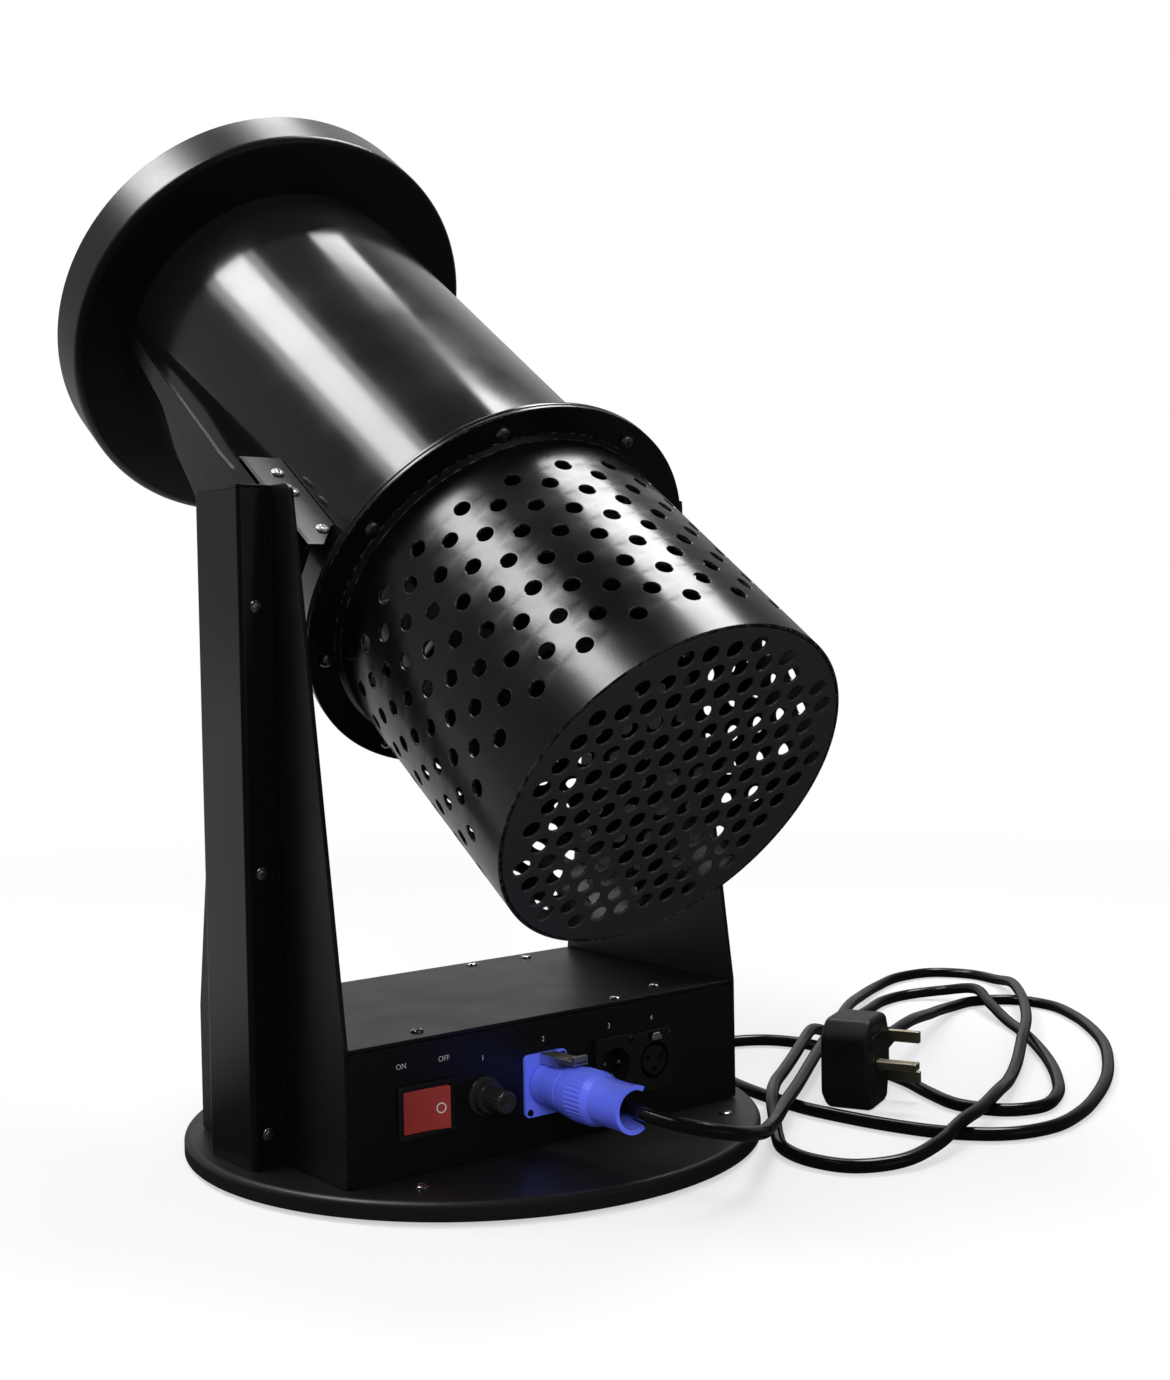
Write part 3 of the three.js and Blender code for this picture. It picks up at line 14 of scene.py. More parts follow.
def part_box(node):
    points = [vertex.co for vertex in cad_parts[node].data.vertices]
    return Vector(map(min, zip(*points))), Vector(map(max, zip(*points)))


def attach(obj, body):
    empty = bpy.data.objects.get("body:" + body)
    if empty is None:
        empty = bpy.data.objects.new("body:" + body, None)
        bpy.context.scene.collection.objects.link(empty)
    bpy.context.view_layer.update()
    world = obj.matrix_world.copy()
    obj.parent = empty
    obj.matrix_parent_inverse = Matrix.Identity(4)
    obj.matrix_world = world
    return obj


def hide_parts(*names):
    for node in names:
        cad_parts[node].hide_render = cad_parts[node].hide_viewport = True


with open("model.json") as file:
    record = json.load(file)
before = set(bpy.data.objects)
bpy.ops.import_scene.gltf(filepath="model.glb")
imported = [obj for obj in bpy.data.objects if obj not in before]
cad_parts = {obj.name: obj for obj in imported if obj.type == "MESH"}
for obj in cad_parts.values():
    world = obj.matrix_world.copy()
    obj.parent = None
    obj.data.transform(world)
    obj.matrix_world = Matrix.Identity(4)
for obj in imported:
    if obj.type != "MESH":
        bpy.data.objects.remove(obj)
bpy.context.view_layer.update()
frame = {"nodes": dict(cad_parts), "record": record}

MM = 0.001
WIDE, FINE, SMALL = 160, 64, 32  # facets round a wide, a middling and a small circle
UP = (0, 0, 1)

# Places and sizes repeated from the CAD source.
TILT = 35.5
PIVOT = (0, 5, 311.5)
BASE_TOP = 11.5
BOX_TOP = 75.5
PANEL = -71



def shift(*by):
    return Matrix.Translation(by)


def turn(degrees, axis):
    return Matrix.Rotation(radians(degrees), 4, axis)


low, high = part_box("control_box")
MACHINE = shift(0, (low.y + high.y) / 2, 0) @ Matrix.Scale(MM, 4)
HEAD = MACHINE @ shift(*PIVOT) @ turn(TILT, "X")
PLUG = MACHINE @ shift(196, -92, 0) @ turn(25, "Z")
ON_BASE, ON_HEAD = ("base", MACHINE), ("head", HEAD)

# A lathe is made about Z and a plate is drawn in XY: these turn them to another axis.
XY_TO_YZ = Matrix(((0, 0, 1, 0), (1, 0, 0, 0), (0, 1, 0, 0), (0, 0, 0, 1)))
XY_TO_ZX = Matrix(((0, 1, 0, 0), (0, 0, 1, 0), (1, 0, 0, 0), (0, 0, 0, 1)))
XY_TO_XZ = Matrix(((1, 0, 0, 0), (0, 0, 1, 0), (0, 1, 0, 0), (0, 0, 0, 1)))
ABOUT = {"x": XY_TO_YZ, "y": XY_TO_ZX, "z": Matrix.Identity(4)}
DRAWN = {"x": XY_TO_YZ, "y": XY_TO_XZ, "z": Matrix.Identity(4)}


# Shader nodes
def node(tree, kind, *inputs, **values):
    """A new node. Inputs are sockets to link or constants, in order; values are set by name."""
    made = tree.nodes.new(f"ShaderNode{kind}")
    for key, value in values.items():
        if key in made.inputs:
            made.inputs[key].default_value = value
        else:
            setattr(made, key, value)
    for socket, value in zip(made.inputs, inputs):
        if isinstance(value, bpy.types.NodeSocket):
            tree.links.new(value, socket)
        else:
            socket.default_value = value
    return made


def calc(tree, operation, *values):
    return node(tree, "Math", *values, operation=operation).outputs[0]


def ramp(tree, source, low_in, high_in, low_out=0.0, high_out=1.0, kind="LINEAR"):
    ends = (low_in, high_in, low_out, high_out)
    return node(tree, "MapRange", source, *ends, interpolation_type=kind).outputs["Result"]


def noise(tree, vector, scale, detail=3.0):
    return node(tree, "TexNoise", vector, Scale=scale, Detail=detail).outputs["Fac"]


# Materials
def new_material(name, colour, roughness, metallic=0.0, specular=0.5, coat=0.0):
    """A material with its constants set, its node tree and its shader's sockets."""
    material = bpy.data.materials.new(name)
    material.use_nodes = True
    sockets = material.node_tree.nodes["Principled BSDF"].inputs
    for key, value in {
        "Base Color": (*colour, 1), "Roughness": roughness, "Metallic": metallic,
        "Specular IOR Level": specular, "Coat Weight": coat, "Coat Roughness": 0.1,
    }.items():
        sockets[key].default_value = value
    return material, material.node_tree, sockets


def own_place(tree):
    """The piece's own coordinates, in metres."""
    return node(tree, "TexCoord").outputs["Object"]


def bump(tree, height, strength, distance, sockets):
    made = node(tree, "Bump", Strength=strength, Distance=distance)
    tree.links.new(height, made.inputs["Height"])
    tree.links.new(made.outputs["Normal"], sockets["Normal"])


def mixed_colour(tree, factor, first, second, sockets):
    made = node(tree, "Mix", factor, data_type="RGBA")
    for socket, colour in zip([s for s in made.inputs if s.type == "RGBA"], (first, second)):
        socket.default_value = (*colour, 1)
    result = [s for s in made.outputs if s.type == "RGBA"][0]
    tree.links.new(result, sockets["Base Color"])


EDGE_WEAR_AND_GLINT = 0.0009  # metres


def coated(name, colour, wear_and_glint, roughness, specular, grain, depth):
    """Powder coat: fine orange peel, cloudy gloss, and a lighter tone at the edges: a little bare wear where
    they rub, and on the satin coat a painted highlight on its hole rims.
    """
    material, tree, sockets = new_material(name, colour, roughness, specular=specular)
    place = own_place(tree)
    bump(tree, noise(tree, place, grain, 2.0), 0.35, depth, sockets)
    fine, broad = noise(tree, place, 240.0), noise(tree, place, 26.0, 5.0)
    cloud = calc(tree, "MULTIPLY_ADD", fine, 0.12, broad)
    gloss = ramp(tree, cloud, 0.4, 0.75, roughness - 0.01, roughness + 0.06)
    tree.links.new(gloss, sockets["Roughness"])
    true_normal = node(tree, "NewGeometry").outputs["True Normal"]
    softened = node(tree, "Bevel", Radius=EDGE_WEAR_AND_GLINT, samples=4).outputs["Normal"]
    turned = node(tree, "VectorMath", true_normal, softened, operation="DOT_PRODUCT")
    # Lighter edges: bare wear where edges rub, and on the satin coat a painted highlight on the hole rims.
    speck = ramp(tree, noise(tree, place, 320.0, 4.0), 0.47, 0.62, 0.0, 0.6)
    rubbed_and_glint = calc(tree, "MULTIPLY", ramp(tree, turned.outputs["Value"], 0.97, 0.85), speck)
    mixed_colour(tree, rubbed_and_glint, colour, wear_and_glint, sockets)
    return material


def moulded(name, colour, second, roughness, specular, grain, depth, coat=0.0):
    """Moulded plastic or rubber: fine grain, slightly uneven tone and gloss."""
    material, tree, sockets = new_material(name, colour, roughness, specular=specular, coat=coat)
    place = own_place(tree)
    bump(tree, noise(tree, place, grain), 0.3, depth, sockets)
    patches = ramp(tree, noise(tree, place, 35.0, 4.0), 0.35, 0.7)
    mixed_colour(tree, patches, colour, second, sockets)
    gloss = ramp(tree, noise(tree, place, 120.0), 0.3, 0.7, roughness - 0.06, roughness + 0.06)
    tree.links.new(gloss, sockets["Roughness"])
    return material


def metal(name, colour, second, roughness):
    """Bare or plated metal with fine tool marks and a slightly uneven tone."""
    material, tree, sockets = new_material(name, colour, roughness, metallic=1.0)
    place = own_place(tree)
    marks = noise(tree, place, 900.0)
    bump(tree, marks, 0.25, 0.00002, sockets)
    patches = ramp(tree, noise(tree, place, 90.0, 4.0), 0.35, 0.7)
    mixed_colour(tree, patches, colour, second, sockets)
    gloss = ramp(tree, marks, 0.3, 0.7, roughness - 0.07, roughness + 0.1)
    tree.links.new(gloss, sockets["Roughness"])
    return material


# Colour, tone of rubbed edges (bare wear, and on the satin coat a painted highlight on the hole rims),
# roughness, specular, scale and depth of the grain.
BARE = (0.030, 0.030, 0.032)
COATS = {
    "black": ((0.0019, 0.0018, 0.0021), BARE, 0.38, 0.42, 1500, 0.00003),
    "sheen": ((0.0016, 0.0015, 0.002), BARE, 0.14, 0.5, 1300, 0.00002),
    "grained": ((0.0018, 0.0017, 0.002), BARE, 0.27, 0.5, 900, 0.00006),
    # The satin's edge tone is a painted highlight on the rims of the drum's holes, not wear.
    "satin": ((0.0017, 0.0016, 0.002), (0.13, 0.127, 0.133), 0.2, 0.5, 900, 0.00006),
    "dull": ((0.0044, 0.0041, 0.0046), BARE, 0.4, 0.42, 1300, 0.00003),
    # The sheen coat with a lighter colour: painted light for the glow between the barrel's highlights.
    "lit_sheen": ((0.0046, 0.0043, 0.0053), BARE, 0.14, 0.5, 1300, 0.00002),
    "cover": ((0.0018, 0.0017, 0.002), BARE, 0.17, 0.36, 1300, 0.00002),
    "matt": ((0.0155, 0.0148, 0.016), (0.04, 0.04, 0.042), 0.42, 0.42, 1300, 0.00003),
}
# Name, colour, second tone, roughness, specular, scale and depth of the grain, clear coat.
MOULDINGS = {
    "plastic": ("black_plastic", (0.0026, 0.0026, 0.0029), (0.004, 0.004, 0.0044), 0.42, 0.4, 2600, 0.00004),
    "gloss": ("gloss_plastic", (0.009, 0.0088, 0.0088), (0.012, 0.0118, 0.0118), 0.22, 0.5, 1600, 0.00002),
    "rubber": ("black_rubber", (0.006, 0.006, 0.006), (0.01, 0.01, 0.01), 0.62, 0.35, 1800, 0.00005),
    "lead": ("lead_sheath", (0.0016, 0.0016, 0.0018), (0.0024, 0.0024, 0.0027), 0.21, 0.38, 700, 0.00003),
    "blue": ("blue_plastic", (0.09, 0.125, 0.7), (0.075, 0.105, 0.61), 0.4, 0.45, 2400, 0.00003),
    "red": ("red_plastic", (0.185, 0.02, 0.017), (0.155, 0.015, 0.013), 0.3, 0.5, 1200, 0.00001, 0.2),
    "white": ("white_print", (0.36, 0.36, 0.35), (0.3, 0.3, 0.29), 0.45, 0.4, 2400, 0.00001),
    "green": ("board_laminate", (0.02, 0.11, 0.055), (0.014, 0.08, 0.04), 0.45, 0.4, 900, 0.00002),
}
# Name, colour, second tone, roughness.
METALS = {
    "nickel": ("nickel_plate", (0.7, 0.68, 0.64), (0.6, 0.58, 0.54), 0.4),
    "zinc": ("dark_zinc", (0.56, 0.545, 0.53), (0.46, 0.45, 0.44), 0.22),
    "steel": ("turned_steel", (0.42, 0.42, 0.43), (0.33, 0.33, 0.34), 0.36),
    "brass": ("drawn_brass", (0.64, 0.59, 0.44), (0.54, 0.49, 0.35), 0.38),
}
LOOK = {key: coated(f"{key}_coat", *values) for key, values in COATS.items()}
LOOK.update({key: moulded(*values) for key, values in MOULDINGS.items()})
LOOK.update({key: metal(*values) for key, values in METALS.items()})

# The library's slot of each look that isn't named after its slot.
SLOT_OF = {
    "gloss": "plastic", "lead": "rubber", "white": "plastic", "zinc": "nickel",
    **dict.fromkeys(("grained", "satin", "dull", "matt", "lit_sheen", "cover"), "sheen"),
}


# Mesh helpers
def new_object(name, data):
    made = bpy.data.objects.new(name, data)
    bpy.context.scene.collection.objects.link(made)
    return made


def new_mesh(name, made):
    """The mesh of a bmesh, which is used up."""
    mesh = bpy.data.meshes.new(name)
    made.to_mesh(mesh)
    made.free()
    return mesh


def add_piece(name, made, look, body, place, replaces=(), crease=35):
    """Puts a mesh made in millimetres into the scene as a piece that rides on a body."""
    made.transform(place)
    bmesh.ops.remove_doubles(made, verts=made.verts, dist=1e-6)
    bmesh.ops.recalc_face_normals(made, faces=made.faces)
    mesh = new_mesh(name, made)
    mesh.shade_smooth()
    mesh.set_sharp_from_angle(angle=radians(crease))
    mesh.materials.append(LOOK[look])
    piece = new_object(name, mesh)
    weighted = piece.modifiers.new("weighted_normals", "WEIGHTED_NORMAL")
    weighted.keep_sharp = True
    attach(piece, body)
    if replaces:
        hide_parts(*replaces)
    return piece


def merged(*parts):
    """Several meshes as one."""
    whole = bmesh.new()
    for part in parts:
        mesh = new_mesh("part", part)
        whole.from_mesh(mesh)
        bpy.data.meshes.remove(mesh)
    return whole


def moved(made, matrix):
    made.transform(matrix)
    return made


def on_side(hand, made):
    """A mesh drawn for the +X side, mirrored to the other side where hand is -1."""
    return moved(made, Matrix.Scale(hand, 4, (1, 0, 0)))


def rounded(corners, closed=True, steps=4):
    """A polyline of (a, b) or (a, b, radius) corners, with each corner rounded by its radius."""
    points = []
    count = len(corners)
    for i, corner in enumerate(corners):
        here = Vector(corner[:2])
        radius = corner[2] if len(corner) > 2 else 0
        if not radius or (not closed and i in (0, count - 1)):
            points.append(here)
            continue
        before = Vector(corners[i - 1][:2]) - here
        after = Vector(corners[(i + 1) % count][:2]) - here
        half = before.angle(after) / 2
        reach = min(radius / tan(half), 0.49 * before.length, 0.49 * after.length)
        real = reach * tan(half)
        first, last = here + before.normalized() * reach, here + after.normalized() * reach
        middle = (before.normalized() + after.normalized()).normalized()
        centre = here + middle * (real / sin(half))
        start, end = first - centre, last - centre
        sweep = start.angle(end)
        way = 1 if start.cross(end) > 0 else -1
        for k in range(steps + 1):
            points.append(centre + Matrix.Rotation(way * sweep * k / steps, 2) @ start)
    return [tuple(p) for p in points]


def circle(x, y, radius, count=SMALL):
    angles = [2 * pi * i / count for i in range(count)]
    return [(x + radius * cos(a), y + radius * sin(a)) for a in angles]


def block_outline(x0, x1, y0, y1, radius=0.0):
    return rounded([(x0, y0, radius), (x1, y0, radius), (x1, y1, radius), (x0, y1, radius)])


def around(spot, half_wide, half_tall, radius):
    x, y = spot
    return block_outline(x - half_wide, x + half_wide, y - half_tall, y + half_tall, radius)


def skin(made, a, b):
    """Faces between two rings, where either may be a single point."""
    count = max(len(a), len(b))
    for i in range(count):
        j = (i + 1) % count
        corners = [a[i % len(a)], a[j % len(a)], b[j % len(b)], b[i % len(b)]]
        corners = [c for k, c in enumerate(corners) if c not in corners[:k]]
        if len(corners) > 2:
            made.faces.new(corners)


def skin_all(made, rings):
    for a, b in zip(rings, rings[1:]):
        skin(made, a, b)


def skinned(sections):
    """A mesh through rings of points, open at both ends, and its rings."""
    made = bmesh.new()
    rings = [[made.verts.new(p) for p in section] for section in sections]
    skin_all(made, rings)
    return made, rings


def lofted(sections):
    """A solid through rings of points, closed at both ends."""
    made, rings = skinned(sections)
    made.faces.new(rings[0])
    made.faces.new(rings[-1])
    return made


def spun(axis, sections, at):
    """A mesh through rings of points about Z, the last joined to the first, stood on an axis."""
    made, rings = skinned(sections)
    if len(rings[0]) > 1:
        skin(made, rings[-1], rings[0])
    return moved(made, shift(*at) @ ABOUT[axis])


def lathe(axis, profile, sides, at=(0, 0, 0)):
    """A closed profile of (radius, place along the axis) turned about the axis."""
    rings = [(circle(0, 0, r, sides) if r > 1e-6 else [(0, 0)], h) for r, h in profile]
    return spun(axis, [[(*p, h) for p in ring] for ring, h in rings], at)


def fluted(axis, profile, count, at):
    """As lathe, but each ring of (radius, place, depth) has count flutes of that depth round it."""
    angles = [2 * pi * i / (count * 6) for i in range(count * 6)]
    sections = []
    for r, h, depth in profile:
        sizes = [r - depth * (0.5 + 0.5 * cos(count * a)) ** 2 for a in angles]
        sections.append([(size * cos(a), size * sin(a), h) for size, a in zip(sizes, angles)])
    return spun(axis, sections, at)


def from_curve(curve):
    """The mesh of a curve, which is used up."""
    holder = new_object("outline", curve)
    final = holder.evaluated_get(bpy.context.evaluated_depsgraph_get())
    mesh = bpy.data.meshes.new_from_object(final)
    made = bmesh.new()
    made.from_mesh(mesh)
    bpy.data.objects.remove(holder)
    bpy.data.curves.remove(curve)
    bpy.data.meshes.remove(mesh)
    return made


def plate(axis, outlines, start, end, edge):
    """A flat plate with holes, from its outlines, with rounded edges."""
    curve = bpy.data.curves.new("outline", "CURVE")
    curve.dimensions = "2D"
    curve.fill_mode = "BOTH"
    curve.extrude = abs(end - start) / 2 - edge
    curve.bevel_depth = edge
    curve.bevel_resolution = 1
    curve.offset = -edge
    for ring in outlines:
        spline = curve.splines.new("POLY")
        spline.points.add(len(ring) - 1)
        for point, (a, b) in zip(spline.points, ring):
            point.co = (a, b, 0, 1)
        spline.use_cyclic_u = True
    made = from_curve(curve)
    bmesh.ops.remove_doubles(made, verts=made.verts, dist=1e-4)
    return moved(made, DRAWN[axis] @ shift(0, 0, (start + end) / 2))


def block(x0, x1, y0, y1, z0, z1, edge):
    return plate("z", [block_outline(x0, x1, y0, y1, edge)], z0, z1, edge)


def tube(points, radius, sides):
    """A round tube along points, with flat ends."""
    way = (points[1] - points[0]).normalized()
    across = way.orthogonal().normalized()
    sections = []
    for i, point in enumerate(points):
        ahead = (points[min(i + 1, len(points) - 1)] - points[max(i - 1, 0)]).normalized()
        across = (way.rotation_difference(ahead) @ across).normalized()
        way = ahead
        other = way.cross(across)
        sections.append([point + across * a + other * b for a, b in circle(0, 0, radius, sides)])
    return lofted(sections)


# Camera
SENSOR = 36.0  # millimetres
FOCAL_PX, PHOTO_HEIGHT = 1806.07, 1380
camera = new_object("camera", bpy.data.cameras.new("camera"))
camera.data.sensor_width = SENSOR
camera.data.lens = FOCAL_PX * SENSOR / PHOTO_HEIGHT
camera.data.clip_start, camera.data.clip_end = 0.05, 50
right = Vector((0.7799, -0.6256, -0.0182))
ahead = Vector((0.6248, 0.7800, -0.0348)).normalized()
upward = right.cross(ahead).normalized()
right = ahead.cross(upward)
eye = MACHINE @ Vector((-542.195, -775.988, 266.192))
camera.matrix_world = shift(*eye) @ Matrix((right, upward, -ahead)).transposed().to_4x4()
bpy.context.scene.camera = camera

# Mains lead
LEAD_ROUTE = [
    (-8, -119.2, 42), (-8, -135, 42), (-8, -150, 41.5), (-1, -168, 39), (18, -178, 34),
    (44, -169, 27.5), (70, -149, 21), (97, -127, 16.5), (130, -101, 14), (165, -75, 12),
    (205, -46, 12.2), (248, -15, 12.2), (290, 14, 12.2), (335, 46, 11.8), (382, 78, 7),
    (426, 103, 4), (463, 115, 4), (494, 110, 4), (509, 86, 4), (503, 57, 5),
    (483, 29, 10), (455, 0, 12.2), (420, -32, 12.2), (384, -61, 12.2), (345, -88, 11.8),
    (305, -115, 8), (268, -138, 8), (232, -159, 12.2), (200, -174, 12.2), (172, -184, 12.2),
    (144, -192, 8), (117, -193, 5), (95, -181, 4), (87, -160, 4), (91, -138, 4),
    (105, -119, 4), (121, -101, 6), (137, -83, 11), (156, -66, 12.2), (180, -49, 12.2),
    (208, -29, 12.2), (238, -7, 12.2), (265, 11, 12.8), (297, 27, 4.5), (327, 38, 4),
    (360, 52, 4), (391, 66, 4), (418, 69, 4), (438, 52, 7), (438, 24, 12.2),
    (421, -2, 9), (402, -31, 5), (382, -61, 4), (358, -90, 4), (332, -118, 4),
    (304, -144, 4), (276, -165, 4), (249, -175, 4), (228, -166, 4), (219, -143, 4),
    (226, -117, 4), (237, -90, 4), (244, -64, 4), (252, -38, 4), (259, -12, 4),
    (261, 14, 4), (250, 38, 4), (226, 50, 4), (201, 43, 4), (182, 22, 4),
    (169, -4, 4), (160, -33, 4), (155, -62, 4), (153, -90, 4), (156, -118, 4),
    (162, -146, 4), (173, -174, 4), (194, -196, 4), (222, -203, 4), (255, -196, 4),
    (292, -180, 4), (327, -161, 4), (361, -138, 4), (395, -111, 4), (424, -81, 4),
    (447, -51, 4), (462, -21, 4), (458, 8, 4), (436, 23, 4), (408, 19, 5),
    (378, 5, 9), (348, -13, 14), (318, -31, 19.5), (292, -46, 23.5), (270, -57.3, 25),
    (250.9, -66.3, 25),
]
LEAD_RADIUS = 3.5


def smooth_route(route, steps):
    """The centripetal curve through the route's points."""
    points = [Vector(p) for p in route]
    padded = [2 * points[0] - points[1], *points, 2 * points[-1] - points[-2]]
    line = []
    for p0, p1, p2, p3 in zip(padded, padded[1:], padded[2:], padded[3:]):
        gaps = [b - a for a, b in ((p0, p1), (p1, p2), (p2, p3))]
        d0, d1, d2 = [max(gap.length_squared, 1e-9) ** 0.25 for gap in gaps]
        leave = ((p1 - p0) / d0 - (p2 - p0) / (d0 + d1) + (p2 - p1) / d1) * d1
        arrive = ((p2 - p1) / d1 - (p3 - p1) / (d1 + d2) + (p3 - p2) / d2) * d1
        for k in range(steps):
            t = k / steps
            line.append(
                p1
                + leave * t
                + (-3 * p1 + 3 * p2 - 2 * leave - arrive) * t * t
                + (2 * p1 - 2 * p2 + leave + arrive) * t**3
            )
    return [*line, points[-1]]


lead_line = smooth_route(LEAD_ROUTE, 8)
lead = add_piece("mains_lead", tube(lead_line, LEAD_RADIUS, 20), "lead", *ON_BASE, ["power_cord"])

# Screws
HEAD_RINGS = (0.0, 0.1, 0.2, 0.28, 0.36, 0.44, 0.5, 0.56, 0.64, 0.76, 0.88, 0.96, 1.0)
RECESS_WIDE, RECESS_LONG = 0.13, 0.54  # half width and reach of the cross, as shares of the radius


def screw_head(radius, height):
    """A domed head about Z with a cross recess, standing on Z = 0."""
    sections = []
    for share in HEAD_RINGS:
        section = []
        for x, y in circle(0, 0, share, 48) if share else [(0, 0)]:
            rise = height * (1 - 0.55 * share**3.2) if share < 1 else height * 0.3
            if min(abs(x), abs(y)) < RECESS_WIDE and share < RECESS_LONG:
                rise -= height * 0.5
            section.append((x * radius, y * radius, rise))
        sections.append(section)
    made, rings = skinned([*sections, [(x, y, 0) for x, y, _ in sections[-1]]])
    made.faces.new(rings[-1])
    return made


def facing(point, normal, spin):
    """The matrix that stands something made about Z on a point, along a normal."""
    tip = Vector(UP).rotation_difference(Vector(normal).normalized())
    return shift(*point) @ tip.to_matrix().to_4x4() @ Matrix.Rotation(spin, 4, "Z")


def screws(name, body, place, look, radius, height, spots):
    """A piece of equal screw heads, each at a (point, normal) and turned a little further."""
    heads = [
        moved(screw_head(radius, height), facing(point, normal, 0.7 * i))
        for i, (point, normal) in enumerate(spots)
    ]
    add_piece(name, merged(*heads), look, body, place, crease=40)


# Base
base_profile = rounded([
    (0, 9.5), (148, 9.5, 1.4), (148, 2.5, 0.6), (150, 2.5, 0.6), (150, BASE_TOP, 3.2),
    (0, BASE_TOP),
], closed=False, steps=6)
add_piece("base_disc", lathe("z", base_profile, WIDE), "dull", *ON_BASE, ["base_plate"])
foot_profile = rounded([
    (0, 0.8), (5, 0.8, 0.4), (5.6, 0, 0.4), (9.8, 0, 1.4), (11, 9.2, 0.5), (0, 9.2),
], closed=False)
for i, (x, y) in enumerate([(-90, -90), (90, -90), (90, 90), (-90, 90)], 1):
    made = lathe("z", foot_profile, SMALL, (x, y, 0))
    add_piece(f"rubber_foot_{i}", made, "rubber", *ON_BASE, [f"foot_{i}"])
screws("base_screws", *ON_BASE, "zinc", 3.6, 1.6, [
    ((x, y, BASE_TOP), UP) for x, y in ((-92, -88), (95, -91), (-92, 88), (95, 91))
])

# Control box
SWITCH, FUSE, INLET, DMX_IN, DMX_OUT = (-78, 41.5), (-44.5, 42), (-8, 42), (36.5, 42.5), (62.5, 42)
SOCKETS = (INLET, DMX_IN, DMX_OUT)
BOX_HALF, BOX_DEEP = 118.8, 71  # half the box's width and depth
IN_HALF, IN_DEEP = 117, 69.2  # the same within its folded walls
BOX_FOOT, WALL_TOP, WALL = 11.8, 73.2, 1.5
duct = circle(5, 48, 11.4)  # for the tilt drive's wires
socket_holes = [circle(*spot, 12.1, FINE) for spot in SOCKETS]
panel_holes = [around(SWITCH, 14.8, 11.8, 0.8), circle(*FUSE, 6.4), *socket_holes]
panel_outline = block_outline(-BOX_HALF, BOX_HALF, BOX_FOOT, WALL_TOP, 1.0)
end_outline = block_outline(-IN_DEEP, IN_DEEP, BOX_FOOT, WALL_TOP, 1.0)
add_piece("box_shell", merged(
    plate("y", [panel_outline, *panel_holes], PANEL, PANEL + WALL, 0.35),
    plate("y", [panel_outline], BOX_DEEP - WALL, BOX_DEEP, 0.35),
    plate("z", [block_outline(-IN_HALF, IN_HALF, -IN_DEEP, IN_DEEP, 1)], BOX_FOOT, BOX_FOOT + WALL, 0.35),
    plate("x", [end_outline], BOX_HALF - WALL, BOX_HALF, 0.35),
    plate("x", [end_outline, duct], -BOX_HALF, WALL - BOX_HALF, 0.35),
), "black", *ON_BASE, ["control_box"])
add_piece("box_lid", merged(
    plate("z", [block_outline(-BOX_HALF, BOX_HALF, -BOX_DEEP, BOX_DEEP, 1.2)], 73.5, BOX_TOP, 0.6),
    *[block(-IN_HALF, IN_HALF, y, y + WALL, 65.5, 74, 0.2) for y in (-IN_DEEP, IN_DEEP - WALL)],
), "black", *ON_BASE, ["top_cover"])
screws("lid_screws", *ON_BASE, "zinc", 3.2, 1.7, [
    ((x, y, BOX_TOP), UP) for x, y in ((-74, -59), (43, -66), (79, -55), (-74, 59), (43, 62), (79, 59))
])

# Fittings on the panel
FRONT, SEAT = PANEL - 2.3, PANEL - 0.3  # of the fittings' flanges
SWITCH_BACK = -54.3

mouth, switch_wall = around(SWITCH, 13.3, 10.3, 0.6), around(SWITCH, 14.5, 11.5, 0.8)
add_piece("switch_frame", merged(
    plate("y", [around(SWITCH, 16, 13, 1.6), mouth], FRONT, SEAT, 0.6),
    plate("y", [switch_wall, mouth], SEAT, SWITCH_BACK, 0.1),
    plate("y", [switch_wall], SWITCH_BACK - 1.2, SWITCH_BACK, 0.1),
), "plastic", *ON_BASE, ["switch_bezel"])

# The rocker's face dips between its middle and its ends, and its left end is pressed in.
KEY_HALF, KEY_STEPS = 12.3, 16
TIPPED = turn(-7, "Z")
KEY = MACHINE @ shift(SWITCH[0], -68.533, SWITCH[1]) @ TIPPED
key_line = []
for k in range(KEY_STEPS + 1):
    along = -KEY_HALF + 2 * KEY_HALF * k / KEY_STEPS
    share = abs(along) / KEY_HALF
    depth = -4.35 - 1.2 * share + 1.1 * share * (1 - share)
    key_line.append((along, depth, 0.35 if k in (0, KEY_STEPS) else 0))
key_outline = rounded([*key_line, (KEY_HALF, -2, 0.5), (4, 4, 1), (-4, 4, 1), (-KEY_HALF, -2, 0.5)])
key = plate("z", [key_outline], -10.1, 10.1, 0.45)
add_piece("switch_key", key, "red", "rocker", KEY, ["switch_rocker"])
off_mark = lathe("y", [(1.95, -0.09), (2.5, -0.09), (2.5, 0.12), (1.95, 0.12)], 48)
off_mark.transform(shift(7.5, -4.82, 0) @ TIPPED)
add_piece("switch_mark", off_mark, "white", "rocker", KEY)

